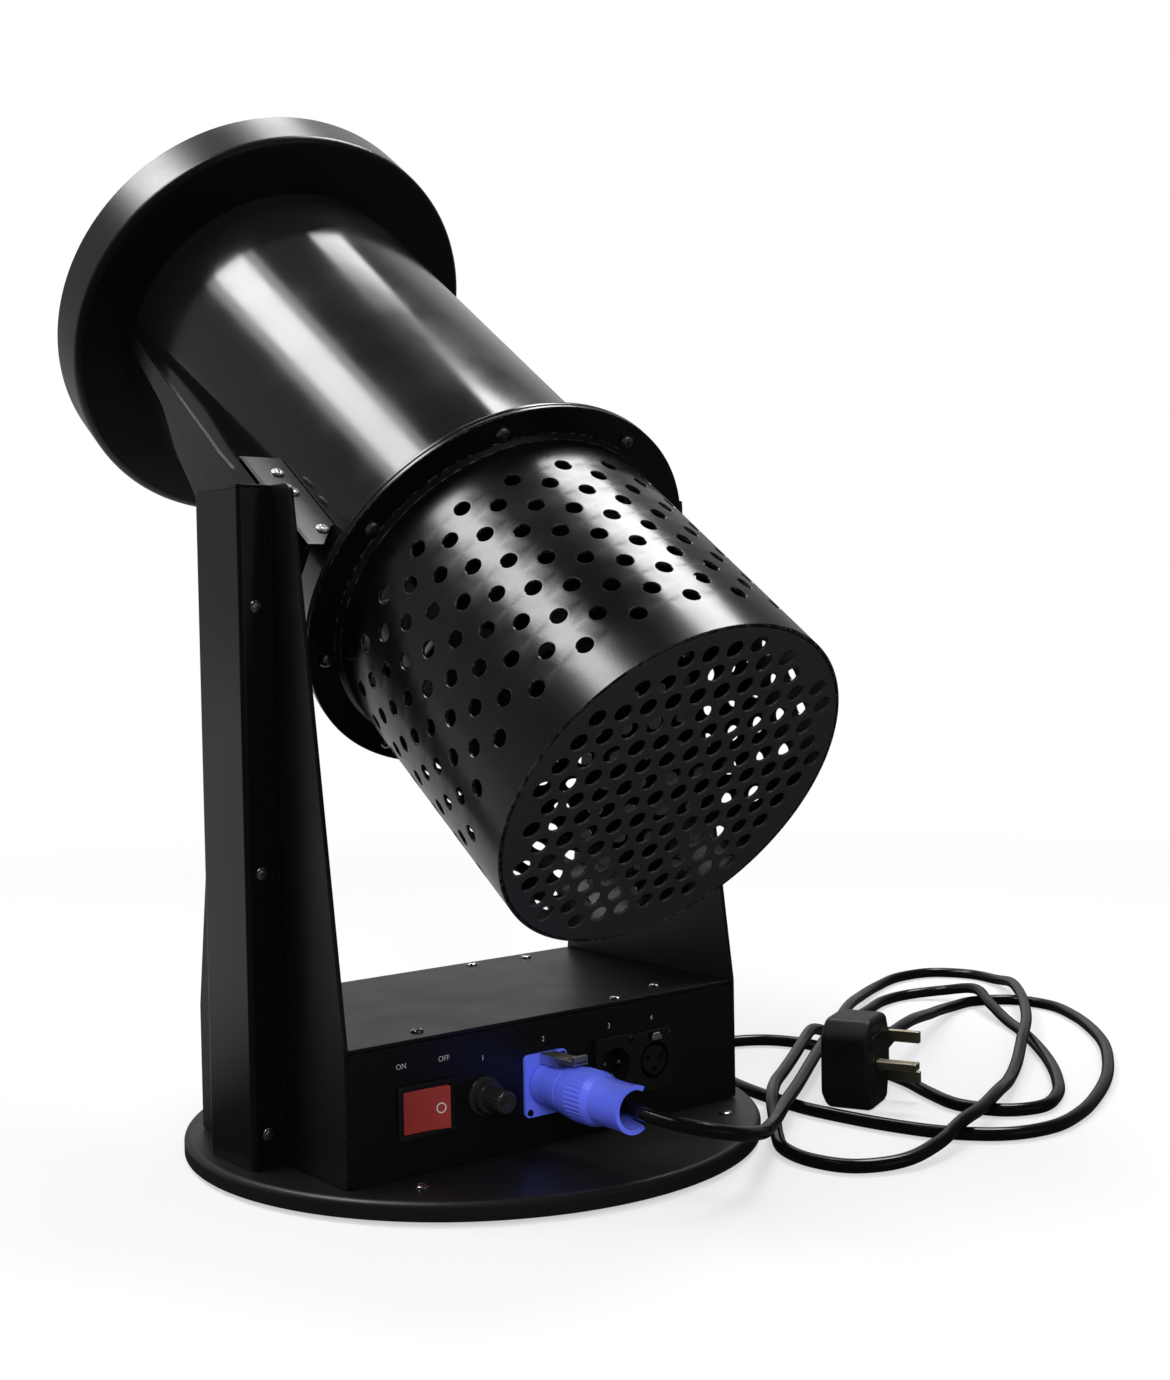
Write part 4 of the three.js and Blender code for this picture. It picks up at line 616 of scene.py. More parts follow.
fuse_place = (FUSE[0], 0, FUSE[1])
seat = rounded([
    (0, -45.3), (6, -45.3, 0.6), (6, SEAT, 0.1), (9.5, SEAT, 0.3), (9.5, FRONT, 0.9),
    (7.6, FRONT, 0.3), (7.4, -78.3, 0.5), (4.1, -78.3, 0.3), (4.1, -73.0, 0.1), (0, -73.0),
], closed=False)
add_piece("fuse_seat", merged(
    lathe("y", seat, FINE, fuse_place),
    fluted("y", [(7.3, -74.2, 0), (7.9, -74.4, 0.5), (7.9, -77.3, 0.5), (7.3, -77.6, 0)], 20, fuse_place),
), "gloss", *ON_BASE, ["fuse_holder"])
knob = fluted("y", [
    (3.8, -73.4, 0), (3.8, -78.6, 0), (5.2, -78.6, 0), (5.8, -79.2, 0.35), (5.8, -88.6, 0.35),
    (5.5, -90.0, 0.2), (4.9, -90.7, 0), (3.6, -90.9, 0), (0.02, -90.9, 0), (0.02, -73.4, 0),
], 18, fuse_place)
for v in knob.verts:  # the driver slot
    if v.co.y < -90.8 and abs(v.co.z - FUSE[1]) < 0.6:
        v.co.y += 0.9
add_piece("fuse_knob", knob, "gloss", "fuse_cap", MACHINE, ["fuse_cap"])


def socket(spot, bore, core, *slots):
    """A square-flanged socket: the flange, its round body and the core that stops its bore."""
    x, z = spot
    place = (x, 0, z)
    front, back = FRONT + 1.6, -47
    body = rounded([(bore, front, 0.1), (11.8, front, 0.1), (11.8, back, 0.8), (bore, back, 0.2)])
    wide, end = bore + 0.1, back - 0.2
    stop = rounded([(0, core), (wide, core, 0.2), (wide, end, 0.2), (0, end)], closed=False)
    return [
        plate("y", [around(spot, 13, 15.5, 2.6), circle(*spot, bore, FINE), *slots], FRONT, SEAT, 0.3),
        lathe("y", body, FINE, place),
        lathe("y", stop, FINE, place),
    ]


def pin_spots(spot):
    return [(spot[0] + a * 9.6, spot[1] + b * 9.6) for a, b in ((-0.48, 0.16), (0.48, 0.16), (0, -0.5))]


add_piece("inlet_socket", merged(*socket(INLET, 10.5, -63)), "blue", *ON_BASE, ["power_inlet"])
add_piece("signal_in_socket", merged(*socket(DMX_IN, 9.6, -61.3)), "plastic", *ON_BASE, ["dmx_in"])
pin_profile = rounded([(0, -70.1), (1.2, -70.1, 0.6), (1.2, -60.8, 0.1), (0, -60.8)], closed=False)
signal_pins = [lathe("y", pin_profile, 24, (x, 0, z)) for x, z in pin_spots(DMX_IN)]
add_piece("signal_in_pins", merged(*signal_pins), "nickel", *ON_BASE)
pin_holes = [circle(x, z, 1.5, 24) for x, z in pin_spots(DMX_OUT)]
insert = plate("y", [circle(*DMX_OUT, 7.6, FINE), *pin_holes], FRONT, -61.5, 0.3)
tab_slot = block_outline(58.8, 66.2, 52.4, 56.75, 0.5)
signal_out = merged(*socket(DMX_OUT, 9.6, -61.3, tab_slot), insert)
add_piece("signal_out_socket", signal_out, "plastic", *ON_BASE, ["dmx_out"])
tab_outline = rounded([
    (59.1, 52.7, 0.5), (65.9, 52.7, 0.5), (65.9, 54.4, 1.0), (64.2, 56.5, 1.2), (60.8, 56.5, 1.2),
    (59.1, 54.4, 1.0),
])
tab = plate("y", [tab_outline], FRONT - 2.4, FRONT - 0.4, 0.5)
add_piece("signal_out_tab", tab, "nickel", "dmx_latch", MACHINE, ["dmx_out_latch"])
screws("socket_screws", *ON_BASE, "sheen", 1.7, 0.8, [
    ((x + a * 10.3, FRONT, z + a * 12.9), (0, -1, 0)) for x, z in SOCKETS for a in (-1, 1)
])


MARK_TALL, LETTER_SHARE = 2.7, 1.38  # height of a capital, and the font's size over it


def words(text, x, z):
    """Printed marks on the panel."""
    curve = bpy.data.curves.new("words", "FONT")
    curve.body, curve.size, curve.extrude, curve.offset = text, MARK_TALL * LETTER_SHARE, 0.02, -0.05
    curve.align_x = curve.align_y = "CENTER"
    return moved(from_curve(curve), shift(x, PANEL - 0.02, z) @ turn(90, "X"))


marks = [
    ("ON", -91, 63.6), ("OFF", -67, 63.6),
    ("1", -44.5, 60), ("2", -8, 63.6), ("3", 34, 63.6), ("4", 62.5, 63.6),
]
add_piece("panel_marks", merged(*[words(*mark) for mark in marks]), "white", *ON_BASE)

# Blue connector in the inlet
connector_place = (INLET[0], 0, INLET[1])
connector_front = FRONT - 0.3
grip_back = connector_front - 20
body_profile = rounded([
    (0, -63.4), (10.2, -63.4, 0.6), (10.2, connector_front, 0.1), (10.6, connector_front, 0.3),
    (10.6, connector_front - 6, 3), (12, grip_back + 0.2, 0.8), (11.4, grip_back, 0.3),
    (0, grip_back),
], closed=False)
made = lathe("y", body_profile, WIDE // 2, connector_place)
for v in made.verts:  # the latch slides on a flat
    if v.co.y < connector_front - 0.1 and abs(v.co.x - INLET[0]) < 5.2:
        v.co.z = min(v.co.z, INLET[1] + 10.1)
add_piece("connector_body", made, "blue", *ON_BASE, ["power_plug_body"], crease=28)

collar_front = grip_back - 0.3
collar_end = collar_front - 25
grip = fluted("y", [
    (0.02, collar_front, 0), (11.4, collar_front, 0), (12.2, collar_front - 0.5, 0),
    (12.6, collar_front - 3, 0), (13.25, collar_front - 9.5, 0), (13.25, collar_front - 10, 0.45),
    (13.25, collar_front - 20, 0.45), (12.9, collar_front - 20.8, 0), (11.9, collar_end + 0.6, 0),
    (11.2, collar_end, 0), (0.02, collar_end, 0),
], 36, connector_place)


def fork():
    """Two prongs round the lead: a sleeve that opens towards +X, wider at its end."""
    lengths, turns = 10, 40
    long, wall = 21.5, 2.3
    sections = []
    for i in range(lengths + 1):
        t = i / lengths
        y = collar_end + 1 - (long + 1) * t
        half = radians(38.7 + 19.3 * t)
        wide = 11.6 - 0.35 * sin(pi * t)
        outside = [k / turns for k in range(turns + 1)]
        section = []
        for radius, shares in ((wide, outside), (wide - wall, [1 - share for share in outside])):
            for share in shares:
                angle = half + (2 * pi - 2 * half) * share
                section.append((INLET[0] + radius * cos(angle), y, INLET[1] + radius * sin(angle)))
        sections.append(section)
    made, rings = skinned(sections)
    for ring in (rings[0], rings[-1]):
        for k in range(turns):
            made.faces.new((ring[k], ring[k + 1], ring[-2 - k], ring[-1 - k]))
    return made


add_piece("connector_grip", merged(grip, fork()), "blue", *ON_BASE, ["power_plug_collar"], crease=40)
gland = rounded([
    (0, collar_end + 0.5), (8.9, collar_end + 0.5, 0.1), (8.9, collar_end - 2.2, 0.8),
    (7.6, collar_end - 3.2, 0.6), (5.0, collar_end - 7.5, 1.0), (4.3, collar_end - 12, 0.4),
    (0, collar_end - 12),
], closed=False)
add_piece("connector_gland", lathe("y", gland, FINE, connector_place), "rubber", *ON_BASE)
x0, x1 = INLET[0] - 4.4, INLET[0] + 4.4
add_piece("connector_latch", merged(
    block(x0, x1, -101, -74.2, 55.7, 57.9, 0.4),
    block(x0, x1, -88, -74.2, 52.6, 56.6, 0.3),
    block(x0, x1, -101, -98.8, 56.2, 60.3, 0.6),
    *[block(x0 + 0.6, x1 - 0.6, -97.2 + 1.7 * k, -96.4 + 1.7 * k, 57.4, 58.4, 0.2) for k in range(4)],
), "nickel", "plug_latch", MACHINE, ["power_plug_latch"])

# Mains plug, in its own frame: X towards its lead, pins along -Y
PLUG_MIDDLE = 25
# Place along the plug, half its thickness, half its height, corner radius.
PLUG_SIZES = [
    (-28, 10.9, 13.5, 2.0), (-27.6, 12.1, 14.8, 2.8), (-26.6, 13.0, 16.4, 3.4),
    (-25, 13.5, 18.4, 3.6), (-20, 13.5, 23.4, 3.6), (-18, 13.5, 24.6, 3.6), (-15, 13.5, 25, 3.4),
    (0, 13.5, 25, 3.4), (5, 13.5, 25, 3.4), (8, 13.4, 24.1, 3.4), (11, 12.7, 22.0, 3.4),
    (18, 11.1, 17.4, 3.6), (24, 9.8, 13.5, 4.0), (27, 9.0, 11.1, 4.0), (28, 8.2, 9.8, 3.6),
]
plug_sections = []
for x, thick, tall, radius in PLUG_SIZES:
    low_z, high_z = PLUG_MIDDLE - tall, PLUG_MIDDLE + tall
    corners = [(-thick, low_z), (thick, low_z), (thick, high_z), (-thick, high_z)]
    outline = rounded([(*corner, radius) for corner in corners], steps=6)
    plug_sections.append([(x, y, z) for y, z in outline])
plug_parts = [lofted(plug_sections)]
for hand in (-1, 1):  # finger ribs on both slopes
    for k in range(4):
        x = 10.5 + 3.6 * k
        y = hand * (12.5 - 0.235 * (x - 11) - 0.55)
        rib = block(-0.8, 0.8, -1.1, 1.1, 12 + 0.9 * k, 38 - 0.9 * k, 0.5)
        plug_parts.append(moved(rib, shift(x, y, 0)))
shell = merged(*plug_parts)
add_piece("mains_plug_shell", shell, "plastic", "base", PLUG, ["mains_plug_body"], crease=50)
add_piece("mains_plug_face", merged(
    plate("y", [block_outline(-20, 4, 9, 41, 3)], -13.9, -13.3, 0.25),
    plate("y", [block_outline(-14.5, -2.5, 18, 32, 1)], -14.3, -13.8, 0.2),
), "plastic", "base", PLUG)
BOOT, BOOT_RIBS, RIB_PITCH, RIB_SHARE = 28.3, 8, 4, 0.62
relief = [(0, BOOT)]
for k in range(BOOT_RIBS):
    back, front = [7 - 2.5 * (k + share) / BOOT_RIBS for share in (0, RIB_SHARE)]
    start, end, after = [BOOT + RIB_PITCH * (k + share) for share in (0, RIB_SHARE, 1)]
    relief += [(back, start, 0.35), (front, end, 0.35)]
    relief += [(front - 0.9, end, 0.2), (front - 0.9, after, 0.2)]
relief = rounded([*relief, (0, BOOT + RIB_PITCH * BOOT_RIBS)], closed=False)
boot = lathe("x", relief, FINE, (0, 0, PLUG_MIDDLE))
add_piece("mains_plug_boot", boot, "rubber", "base", PLUG, ["mains_plug_relief"])
PLUG_FACE = -13.8
for name, spot, half_long, half_tall, reach in (
    ("earth", (-11.1, 25), 4, 2, 22.7),
    ("line", (11.1, 36.1), 2, 3.175, 17.7),
    ("neutral", (11.1, 13.9), 2, 3.175, 17.7),
):
    blade = plate("y", [around(spot, half_long, half_tall, 0.5)], PLUG_FACE - reach, PLUG_FACE, 0.5)
    add_piece(f"plug_blade_{name}", blade, "brass", "base", PLUG, [f"mains_pin_{name}"])

# Yoke
ARM_IN, ARM_OUT, ARM_TOP = 119.1, 121.6, 336
COVER_IN, COVER_OUT = 121.9, 139.6
COVER_BACK, COVER_FRONT = 27, -17
COVER_SCREW = 131.5
TAB_HEIGHTS = (28.4, 152.5, 278.5)
arm_outline = rounded([
    (-BOX_DEEP, BOX_FOOT, 1.5), (BOX_DEEP, BOX_FOOT, 1.5), (BOX_DEEP, BOX_TOP, 4), (33, ARM_TOP, 5),
    (-33, ARM_TOP, 5), (-BOX_DEEP, BOX_TOP, 4),
], steps=6)
inside, y0, y1 = COVER_OUT - WALL, COVER_FRONT + WALL, COVER_BACK - WALL
channel = rounded([
    (COVER_IN, COVER_FRONT, 0.3), (COVER_OUT, COVER_FRONT, 2.4), (COVER_OUT, COVER_BACK, 2.4),
    (COVER_IN, COVER_BACK, 0.3), (COVER_IN, y1, 0.3), (inside, y1, 0.9), (inside, y0, 0.9),
    (COVER_IN, y0, 0.3),
], steps=5)
cap = rounded([
    (COVER_IN, COVER_FRONT, 0.5), (COVER_OUT, COVER_FRONT, 2.4), (COVER_OUT, COVER_BACK, 2.4),
    (COVER_IN, COVER_BACK, 0.5),
], steps=5)
bush = rounded([
    (8.3, 117.0, 0.2), (16, 117.0, 0.4), (16, 118.8, 0.3), (12, 118.8, 0.2), (12, 124.1, 0.4),
    (8.3, 124.1, 0.2),
])
for name, hand, wire_holes, shaft_end in (("left", -1, [duct], 136.5), ("right", 1, [], 127.6)):
    arm = merged(
        plate("x", [arm_outline, circle(*PIVOT[1:], 12.3), *wire_holes], ARM_IN, ARM_OUT, 0.4),
        *[block(ARM_OUT - 1, 135.6, y, y + WALL, z - 6, z + 6, 0.2)
          for z in TAB_HEIGHTS for y in (-15.2, 23.7)],
    )
    cover = merged(
        plate("z", [channel], BOX_FOOT, ARM_TOP - 1.6, 0.2),
        plate("z", [cap], ARM_TOP - 1.5, ARM_TOP, 0.5),
    )
    shaft = rounded([
        (4, 113.5, 0.2), (20, 113.5, 0.5), (20, 116.5, 0.5), (8, 116.5, 0.3), (8, shaft_end, 0.6),
        (4, shaft_end, 0.4),
    ])
    add_piece(f"yoke_arm_{name}", on_side(hand, arm), "black", *ON_BASE, [f"arm_{name}"])
    add_piece(f"yoke_cover_{name}", on_side(hand, cover), "cover", *ON_BASE, [f"arm_cover_{name}"])
    screws(f"cover_screws_{name}", *ON_BASE, "zinc", 3.3, 1.8, [
        ((hand * COVER_SCREW, y, z), (0, way, 0))
        for z in TAB_HEIGHTS for y, way in ((COVER_FRONT, -1), (COVER_BACK, 1))
    ])
    add_piece(f"tilt_bush_{name}", on_side(hand, lathe("x", bush, FINE, PIVOT)), "steel", *ON_BASE,
              [f"pivot_bearing_{name}"])
    add_piece(f"tilt_shaft_{name}", on_side(hand, lathe("x", shaft, FINE)), "steel", *ON_HEAD,
              [f"pivot_shaft_{name}"])

# Barrel and brim
BARREL, BORE, FLANGE = 91.5, 89.7, 108
MUZZLE = 228
barrel_profile = rounded([
    (BORE, -45.6, 0.3), (FLANGE, -45.6, 0.5), (FLANGE, -43.4, 0.5), (BARREL, -43.4, 1.6),
    (BARREL, MUZZLE - 0.3, 0.3), (BORE, MUZZLE - 0.3, 0.3),
])
barrel = lathe("y", barrel_profile, WIDE)
# The barrel wears the lighter copy of the sheen coat, a painted lightening.
add_piece("barrel_tube", barrel, "lit_sheen", *ON_HEAD, ["barrel", "barrel_flange"])
brim_profile = rounded([
    (87.4, MUZZLE - 12, 0.3), (BORE - 0.3, MUZZLE - 12, 0.3), (BORE - 0.3, MUZZLE, 0.6),
    (124, MUZZLE, 4.5), (124, MUZZLE + 31, 0.95), (122, MUZZLE + 31, 0.95), (122, MUZZLE + 2, 2.5),
    (87.4, MUZZLE + 2, 0.9),
], steps=6)
add_piece("muzzle_brim", lathe("y", brim_profile, WIDE), "grained", *ON_HEAD, ["brim_pan"])

# Intake cage
CAGE, CAGE_IN = 92, 90.4
CAGE_END, CAGE_FLANGE = -207, -45.9
COLUMNS, RINGS = 42, 11
COLUMN = 2 * pi * CAGE / COLUMNS  # width of a column, measured round the drum
PITCH = 10.84
FIRST_RING = CAGE_END + 25
HOLE, HOLE_RIM, HOLE_EDGE = 4.0, 5.6, 0.3
CELL_STEPS = 6  # points along each of a cell's four edges
SEAM = radians(15.1)


def cage_wall():
    """The drum as diamond cells, each with a round hole, wrapped round the axis."""
    made = bmesh.new()
    thick = CAGE - CAGE_IN

    def ring(points, depth):
        """Points (place round the drum, place along it), wrapped at a depth below its face."""
        radius = CAGE - depth
        angles = [SEAM + u / CAGE for u, _ in points]
        ys = [y for _, y in points]
        return [made.verts.new((radius * cos(a), y, radius * sin(a))) for a, y in zip(angles, ys)]

    def edge_points(corners):
        points = []
        for p, q in zip(corners, corners[1:]):
            for t in [k / CELL_STEPS for k in range(CELL_STEPS)]:
                points.append((p[0] + (q[0] - p[0]) * t, p[1] + (q[1] - p[1]) * t))
        return points

    def pierced_cell(u, y, corners):
        def hole(size):
            return [(u + a, y + b) for a, b in circle(0, 0, size, 4 * CELL_STEPS)]

        outer = edge_points([*corners, corners[0]])
        skin_all(made, [
            ring(outer, 0), ring(hole(HOLE_RIM), 0),
            ring(hole(HOLE + HOLE_EDGE), 0), ring(hole(HOLE), HOLE_EDGE),
            ring(hole(HOLE), thick - HOLE_EDGE), ring(hole(HOLE + HOLE_EDGE), thick),
            ring(hole(HOLE_RIM), thick), ring(outer, thick),
        ])

    def half_cell(y, corners):
        """Fills in between a cell's peak and the straight line through its middle."""
        for depth in (0, thick):
            sides = [*edge_points(corners), corners[-1]]
            rim, foot = ring(sides, depth), ring([(u, y) for u, _ in sides], depth)
            for i in range(len(rim) - 1):
                made.faces.new((rim[i], rim[i + 1], foot[i + 1], foot[i]))

    def band(levels):
        """A plain band through (place along the drum, depth) levels."""
        us = [i * COLUMN / CELL_STEPS for i in range(COLUMNS * CELL_STEPS)]
        skin_all(made, [ring([(u, y) for u in us], depth) for y, depth in levels])

    for column in range(COLUMNS):
        for row in range(-1, RINGS + 1):
            if (column + row) % 2:
                continue
            u, y = column * COLUMN, FIRST_RING + (RINGS - 1 - row) * PITCH
            right, top, left, foot = (u + COLUMN, y), (u, y + PITCH), (u - COLUMN, y), (u, y - PITCH)
            if row == -1:
                half_cell(y, [right, foot, left])
            elif row == RINGS:
                half_cell(y, [right, top, left])
            else:
                pierced_cell(u, y, [right, top, left, foot])
    top, bottom, wall_top = FIRST_RING + RINGS * PITCH, FIRST_RING - PITCH, CAGE_FLANGE - 1
    band([(top, 0), (wall_top, 0), (wall_top, thick), (top, thick)])
    band([
        (bottom, thick), (CAGE_END + 0.5, thick), (CAGE_END, thick - 0.5), (CAGE_END, 0.5),
        (CAGE_END + 0.5, 0), (bottom, 0),
    ])
    return made


drum = cage_wall()
bmesh.ops.remove_doubles(drum, verts=drum.verts, dist=0.02)
collar_back = CAGE_FLANGE - 2.2
collar_profile = rounded([
    (CAGE_IN, collar_back, 0.3), (FLANGE, collar_back, 0.5), (FLANGE, CAGE_FLANGE, 0.5),
    (CAGE_IN, CAGE_FLANGE, 0.3),
])
weld_profile = rounded([(91.4, -51.2, 0.2), (92.0, -51.2, 0.3), (95.2, -48.1, 0.8), (91.4, -48.1, 0.1)])
add_piece("cage_drum", merged(drum, lathe("y", collar_profile, WIDE), lathe("y", weld_profile, WIDE)),
          "satin", *ON_HEAD, ["intake_cage"], crease=40)

# End grille: round holes on a hexagonal grid.
DISC = 90.1
GRID, GRID_ANGLE, GRID_HOLE = 13.2, radians(10), 4.6
grid_holes = []
for row in range(-9, 10):
    for column in range(-9, 10):
        a, b = (column + (abs(row) % 2) / 2) * GRID, row * GRID * sin(pi / 3)
        x = 3 + a * cos(GRID_ANGLE) - b * sin(GRID_ANGLE)
        z = -1.5 + a * sin(GRID_ANGLE) + b * cos(GRID_ANGLE)
        if hypot(x, z) <= DISC - 8:
            grid_holes.append(circle(x, z, GRID_HOLE, 24))
grille_rim = rounded([(88.6, -206, 0.2), (DISC, -206, 0.2), (DISC, -200, 0.4), (88.6, -200, 0.4)])
add_piece("cage_grille", merged(
    plate("y", [circle(0, 0, DISC, WIDE), *grid_holes], CAGE_END, CAGE_END + 1.5, 0.3),
    lathe("y", grille_rim, WIDE),
), "matt", *ON_HEAD, ["intake_grille"])

# Flange bolts with their nuts.
BOLTS, BOLT_CIRCLE = 8, 99
shank = [(0, -48.5), (2.5, -48.5), (2.5, -39.2), (0, -39.2)]
nut = rounded([(2.3, -43.1, 0.1), (4.6, -43.1, 0.5), (4.6, -39.1, 0.7), (2.3, -39.1, 0.2)])
for i in range(BOLTS):
    angle = radians(22.5 + 45 * i)
    x, z = BOLT_CIRCLE * cos(angle), BOLT_CIRCLE * sin(angle)
    add_piece(f"flange_screw_{i + 1}", merged(
        moved(screw_head(3.8, 2.6), facing((x, -48.4, z), (0, -1, 0), 0.5 * i)),
        lathe("y", shank, 24, (x, 0, z)),
        lathe("y", nut, 6, (x, 0, z)),
    ), "zinc", *ON_HEAD, [f"flange_bolt_{i + 1}"], crease=30)

# Fan, its motor and the spider that carries the motor in the barrel
FAN, HUB, BLADES = -25, 28, 7
HUB_BACK, HUB_FRONT = FAN - 13, FAN + 13
NOSE = 10
nose_angles = [pi / 2 * k / 12 for k in range(1, 12)]
nose = [(HUB * sin(a), HUB_BACK - NOSE * cos(a)) for a in nose_angles]
hub_profile = [(0, HUB_BACK - NOSE), *nose, *rounded([
    (HUB, HUB_BACK), (HUB, HUB_FRONT, 0.8), (24, HUB_FRONT, 0.4), (23, HUB_FRONT - 3, 0.4),
    (8, HUB_FRONT - 3, 0.6), (7, HUB_FRONT, 0.3), (4, HUB_FRONT, 0.2), (4, HUB_FRONT + 11, 0.4),
    (0, HUB_FRONT + 11),
], closed=False)]


def fan_blade(angle):
    """A twisted blade, lofted from the hub to the tip."""
    root, tip, steps = 25, BORE - 4, 12
    sections = []
    for share in [i / steps for i in range(steps + 1)]:
        radius = root + (tip - root) * share
        chord = 30 + 16 * share
        pitch = radians(52 - 25 * share)
        thick, camber = 1.5 - 0.6 * share, chord * 0.06
        section = []
        for round_it in [2 * pi * k / 24 for k in range(24)]:
            c = chord / 2 * cos(round_it)
            t = camber * sin(round_it) ** 2 + thick * sin(round_it)
            way = (c * cos(pitch) - t * sin(pitch)) / radius + angle
            y = c * sin(pitch) + t * cos(pitch) + FAN
            section.append((radius * cos(way), y, radius * sin(way)))
        sections.append(section)
    return lofted(sections)


blades = [fan_blade(2 * pi * k / BLADES) for k in range(BLADES)]
impeller = merged(lathe("y", hub_profile, 84), *blades)
add_piece("fan_impeller", impeller, "plastic", "impeller", HEAD, ["impeller"])
RUN_GAP = 0.5
CAN, CAN_END = HUB_FRONT + RUN_GAP + 3, HUB_FRONT + RUN_GAP + 58
can_profile = rounded([
    (4.3, CAN - 3, 0.2), (11, CAN - 3, 0.6), (11, CAN, 0.4), (30.5, CAN, 2), (32, CAN + 2, 0.6),
    (32, CAN + 8, 0.3), (31.2, CAN + 8.4, 0.2), (31.2, CAN + 9.6, 0.2), (32, CAN + 10, 0.3),
    (32, CAN_END - 10, 0.3), (31.2, CAN_END - 9.6, 0.2), (31.2, CAN_END - 8.4, 0.2),
    (32, CAN_END - 8, 0.3), (32, CAN_END - 3, 2), (29, CAN_END - 1.4, 0.6),
    (12, CAN_END - 1.4, 0.4), (10.5, CAN_END, 0.6), (0.02, CAN_END), (0.02, CAN + 9, 0),
    (4.3, CAN + 9, 0.2),
])
add_piece("fan_motor_can", lathe("y", can_profile, 96), "steel", *ON_HEAD, ["fan_motor"])
DIAGONALS = [radians(45 + 90 * k) for k in range(4)]
screws("fan_motor_screws", *ON_HEAD, "zinc", 2.4, 1.3, [
    ((21 * cos(a), CAN_END - 1.4, 21 * sin(a)), (0, 1, 0)) for a in DIAGONALS
])
MOUNT, MOUNT_END = CAN + 17.5, CAN + 37.5
spider = [
    lathe("y", block_outline(32.3, 34.3, MOUNT, MOUNT_END, 0.4), 96),
    lathe("y", block_outline(BORE - 2.3, BORE - 0.3, MOUNT, MOUNT_END, 0.4), WIDE),
]
for angle in DIAGONALS:
    bar = block(33.2, BORE - 1.2, MOUNT, MOUNT_END, -1.5, 1.5, 0.4)
    spider.append(moved(bar, Matrix.Rotation(-angle, 4, "Y")))
add_piece("motor_spider", merged(*spider), "sheen", *ON_HEAD, ["motor_mount"])

# Side brackets
FACE, SHEET, SHELF = 113.2, 2.5, 20
BEND, STAY_END = 65, MUZZLE - 0.3
side_outline = rounded([
    (-35, -11, 2), (-22, -24, 2), (BEND, -24, 30), (BEND + 50.6, -18.2, 60),
    (BEND + 81.4, -8.6, 60), (STAY_END - 5, -6, 4), (STAY_END, -4.3, 1.6), (STAY_END, -2.7, 1.6),
    (STAY_END - 1.7, -1, 1.6), (BEND, 10, 0), (45, 11, 4), (45, SHELF, 1), (-35, SHELF, 2),
])
shelf_outline = rounded([
    (90.2, -18, 0.5), (92, -18, 1), (104.5, -35, 2), (FACE, -35, 1), (FACE, 45, 1), (90.2, 45, 0.5),
])
for name, hand in (("left", -1), ("right", 1)):
    web = plate("x", [side_outline, circle(0, 0, 4.2)], FACE - SHEET, FACE, 0.3)
    everything = web.verts[:] + web.edges[:] + web.faces[:]
    bmesh.ops.bisect_plane(web, geom=everything, plane_co=(0, BEND, 0), plane_no=(0, 1, 0))
    for v in web.verts:  # the stay leans in past the bend
        v.co.x -= max(0.0, v.co.y - BEND) * (FACE - 98) / (STAY_END - BEND)
    bracket = on_side(hand, merged(web, plate("z", [shelf_outline], SHELF - SHEET, SHELF, 0.3)))
    add_piece(f"head_bracket_{name}", bracket, "grained", *ON_HEAD, [f"side_bracket_{name}"])
    screws(f"bracket_screws_{name}", *ON_HEAD, "nickel", 3.4, 1.9, [
        ((hand * 99, y, SHELF), UP) for y in (-22, 11.6, 29.4)
    ])

# Floor, lights and world
BACKDROP = (0.1, 0.99, 0)
FLOOR_TONE = 0.34
FLOOR_LIFT = 0.53  # strength that brings the lit floor to white
WHITE = (1, 1, 1, 1)


def seen_rays(tree):
    """Two values: 1 for straight, mirrored and refracted rays, and 1 for straight ones only."""
    rays = node(tree, "LightPath").outputs
    straight = rays["Is Camera Ray"]
    mirrored = calc(tree, "MAXIMUM", straight, rays["Is Glossy Ray"])
    return calc(tree, "MAXIMUM", mirrored, rays["Is Transmission Ray"]), straight


def facing_share(tree, towards, direction, start, full):
    """How far a direction lies towards another, from 0 to 1."""
    direction = Vector(direction).normalized()
    along = node(tree, "VectorMath", towards, direction, operation="DOT_PRODUCT")
    return ramp(tree, along.outputs["Value"], start, full, kind="SMOOTHSTEP")


# The floor takes the object's shadow near by and runs out into plain white.
floor_mesh = bmesh.new()
bmesh.ops.create_grid(floor_mesh, x_segments=1, y_segments=1, size=12)
floor = new_object("floor", new_mesh("floor", floor_mesh))
floor_colour = (FLOOR_TONE, FLOOR_TONE, FLOOR_TONE)
pale, tree, sockets = new_material("pale_floor", floor_colour, 1.0, specular=0.0)
seen, straight = seen_rays(tree)
place = node(tree, "NewGeometry").outputs["Position"]
outward = node(tree, "VectorMath", place, operation="NORMALIZE").outputs[0]
behind = facing_share(tree, outward, BACKDROP, 0.3, 0.8)
mirrored = calc(tree, "ADD", calc(tree, "MULTIPLY", behind, 0.45), 0.04)
shown = calc(tree, "MAXIMUM", straight, mirrored)
pale_part = calc(tree, "MULTIPLY", seen, shown)
dimmed = calc(tree, "MAXIMUM", calc(tree, "SUBTRACT", 1.0, seen), shown)
tone = node(tree, "CombineColor", *[calc(tree, "MULTIPLY", dimmed, FLOOR_TONE) for _ in range(3)])
tree.links.new(tone.outputs[0], sockets["Base Color"])
lift = node(tree, "Emission", WHITE, calc(tree, "MULTIPLY", pale_part, FLOOR_LIFT))
near_by = node(tree, "AddShader", tree.nodes["Principled BSDF"].outputs[0], lift.outputs[0])
far_off = node(tree, "Emission", WHITE, pale_part)
distance = node(tree, "VectorMath", place, operation="LENGTH").outputs["Value"]
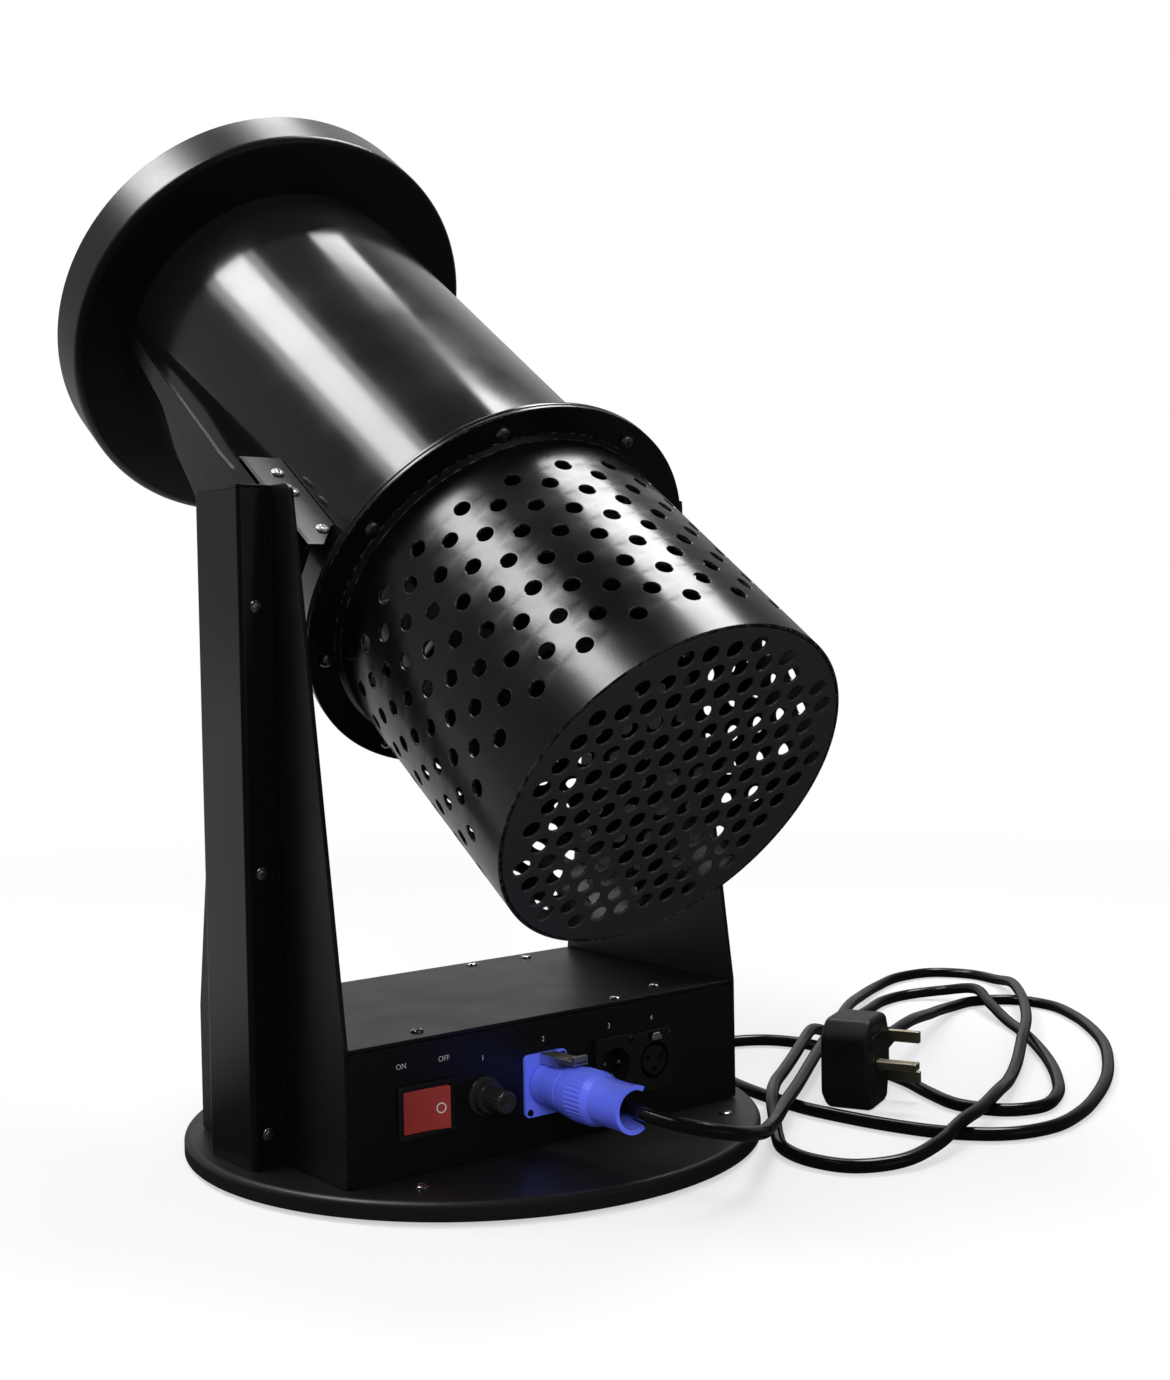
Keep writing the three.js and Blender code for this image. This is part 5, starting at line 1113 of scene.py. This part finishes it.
rim = calc(tree, "MULTIPLY", ramp(tree, distance, 0.7, 1.5, kind="SMOOTHSTEP"), seen)
blend = node(tree, "MixShader", rim, near_by.outputs[0], far_off.outputs[0])
tree.links.new(blend.outputs[0], tree.nodes["Material Output"].inputs["Surface"])
floor.data.materials.append(pale)


AIM = Vector((0, 0.03, 0.36))


def softbox(name, stand, width, length, power, along, mirrored=True):
    """A soft lamp that faces the machine's middle, with its length along an axis."""
    lamp = bpy.data.lights.new(name, "AREA")
    lamp.shape = "RECTANGLE"
    lamp.size, lamp.size_y = width, length
    lamp.energy = power
    away = (Vector(stand) - AIM).normalized()
    side = Vector(along).cross(away).normalized()
    holder = new_object(name, lamp)
    holder.matrix_world = shift(*stand) @ Matrix((side, away.cross(side), away)).transposed().to_4x4()
    holder.visible_glossy = mirrored


softbox("left_strip", (-1.00, 0.52, 2.05), 0.50, 1.5, 24, (0.3, 0.95, 0))
softbox("left_edge", (-1.01, 0.52, 2.07), 0.86, 1.7, 15, (0.3, 0.95, 0))
softbox("right_strip", (0.50, 1.00, 2.05), 0.44, 0.8, 7.5, (0, 1, 0))
softbox("right_box", (0.90, 0.06, 2.05), 0.74, 0.76, 24, (0, 1, 0))
softbox("front_fill", (-1.30, -2.05, 1.30), 1.6, 1.6, 70, (0, 0, 1), mirrored=False)

# The room: white to the eye, and in reflections a pale backdrop, a pale card and dark walls.
# Direction of each pale area, where it starts and is full, and its strength.
AREAS = [
    (BACKDROP, 0.0, 0.7, 0.27),
    ((0.17, -0.98, 0.05), 0.89, 0.965, 0.23),
    ((0.50, 0.70, 0.50), 0.92, 0.98, 0.34),
]
DARK_WALL = 0.03
world = bpy.data.worlds.new("studio")
bpy.context.scene.world = world
world.use_nodes = True
tree = world.node_tree
soft = tree.nodes["Background"]
soft.inputs["Color"].default_value = (0.20, 0.20, 0.21, 1)
towards = node(tree, "TexCoord").outputs["Generated"]
shares = [facing_share(tree, towards, *area[:3]) for area in AREAS]
room, *others = [calc(tree, "MULTIPLY", share, area[3]) for share, area in zip(shares, AREAS)]
for pale_area in (*others, DARK_WALL):
    room = calc(tree, "ADD", room, pale_area)
seen, straight = seen_rays(tree)
mirrored_room = node(tree, "Background", WHITE, calc(tree, "MAXIMUM", room, straight))
choice = node(tree, "MixShader", seen, soft.outputs[0], mirrored_room.outputs[0])
tree.links.new(choice.outputs[0], tree.nodes["World Output"].inputs["Surface"])

bpy.context.scene.view_settings.view_transform = "Standard"

# Every CAD node that still shows gets its procedural material.
slots = {row["node"]: row["material_slot"] for row in frame["record"]["subparts"]}
for name, piece in frame["nodes"].items():
    for own in piece.material_slots:
        own.material = LOOK[slots[name]]
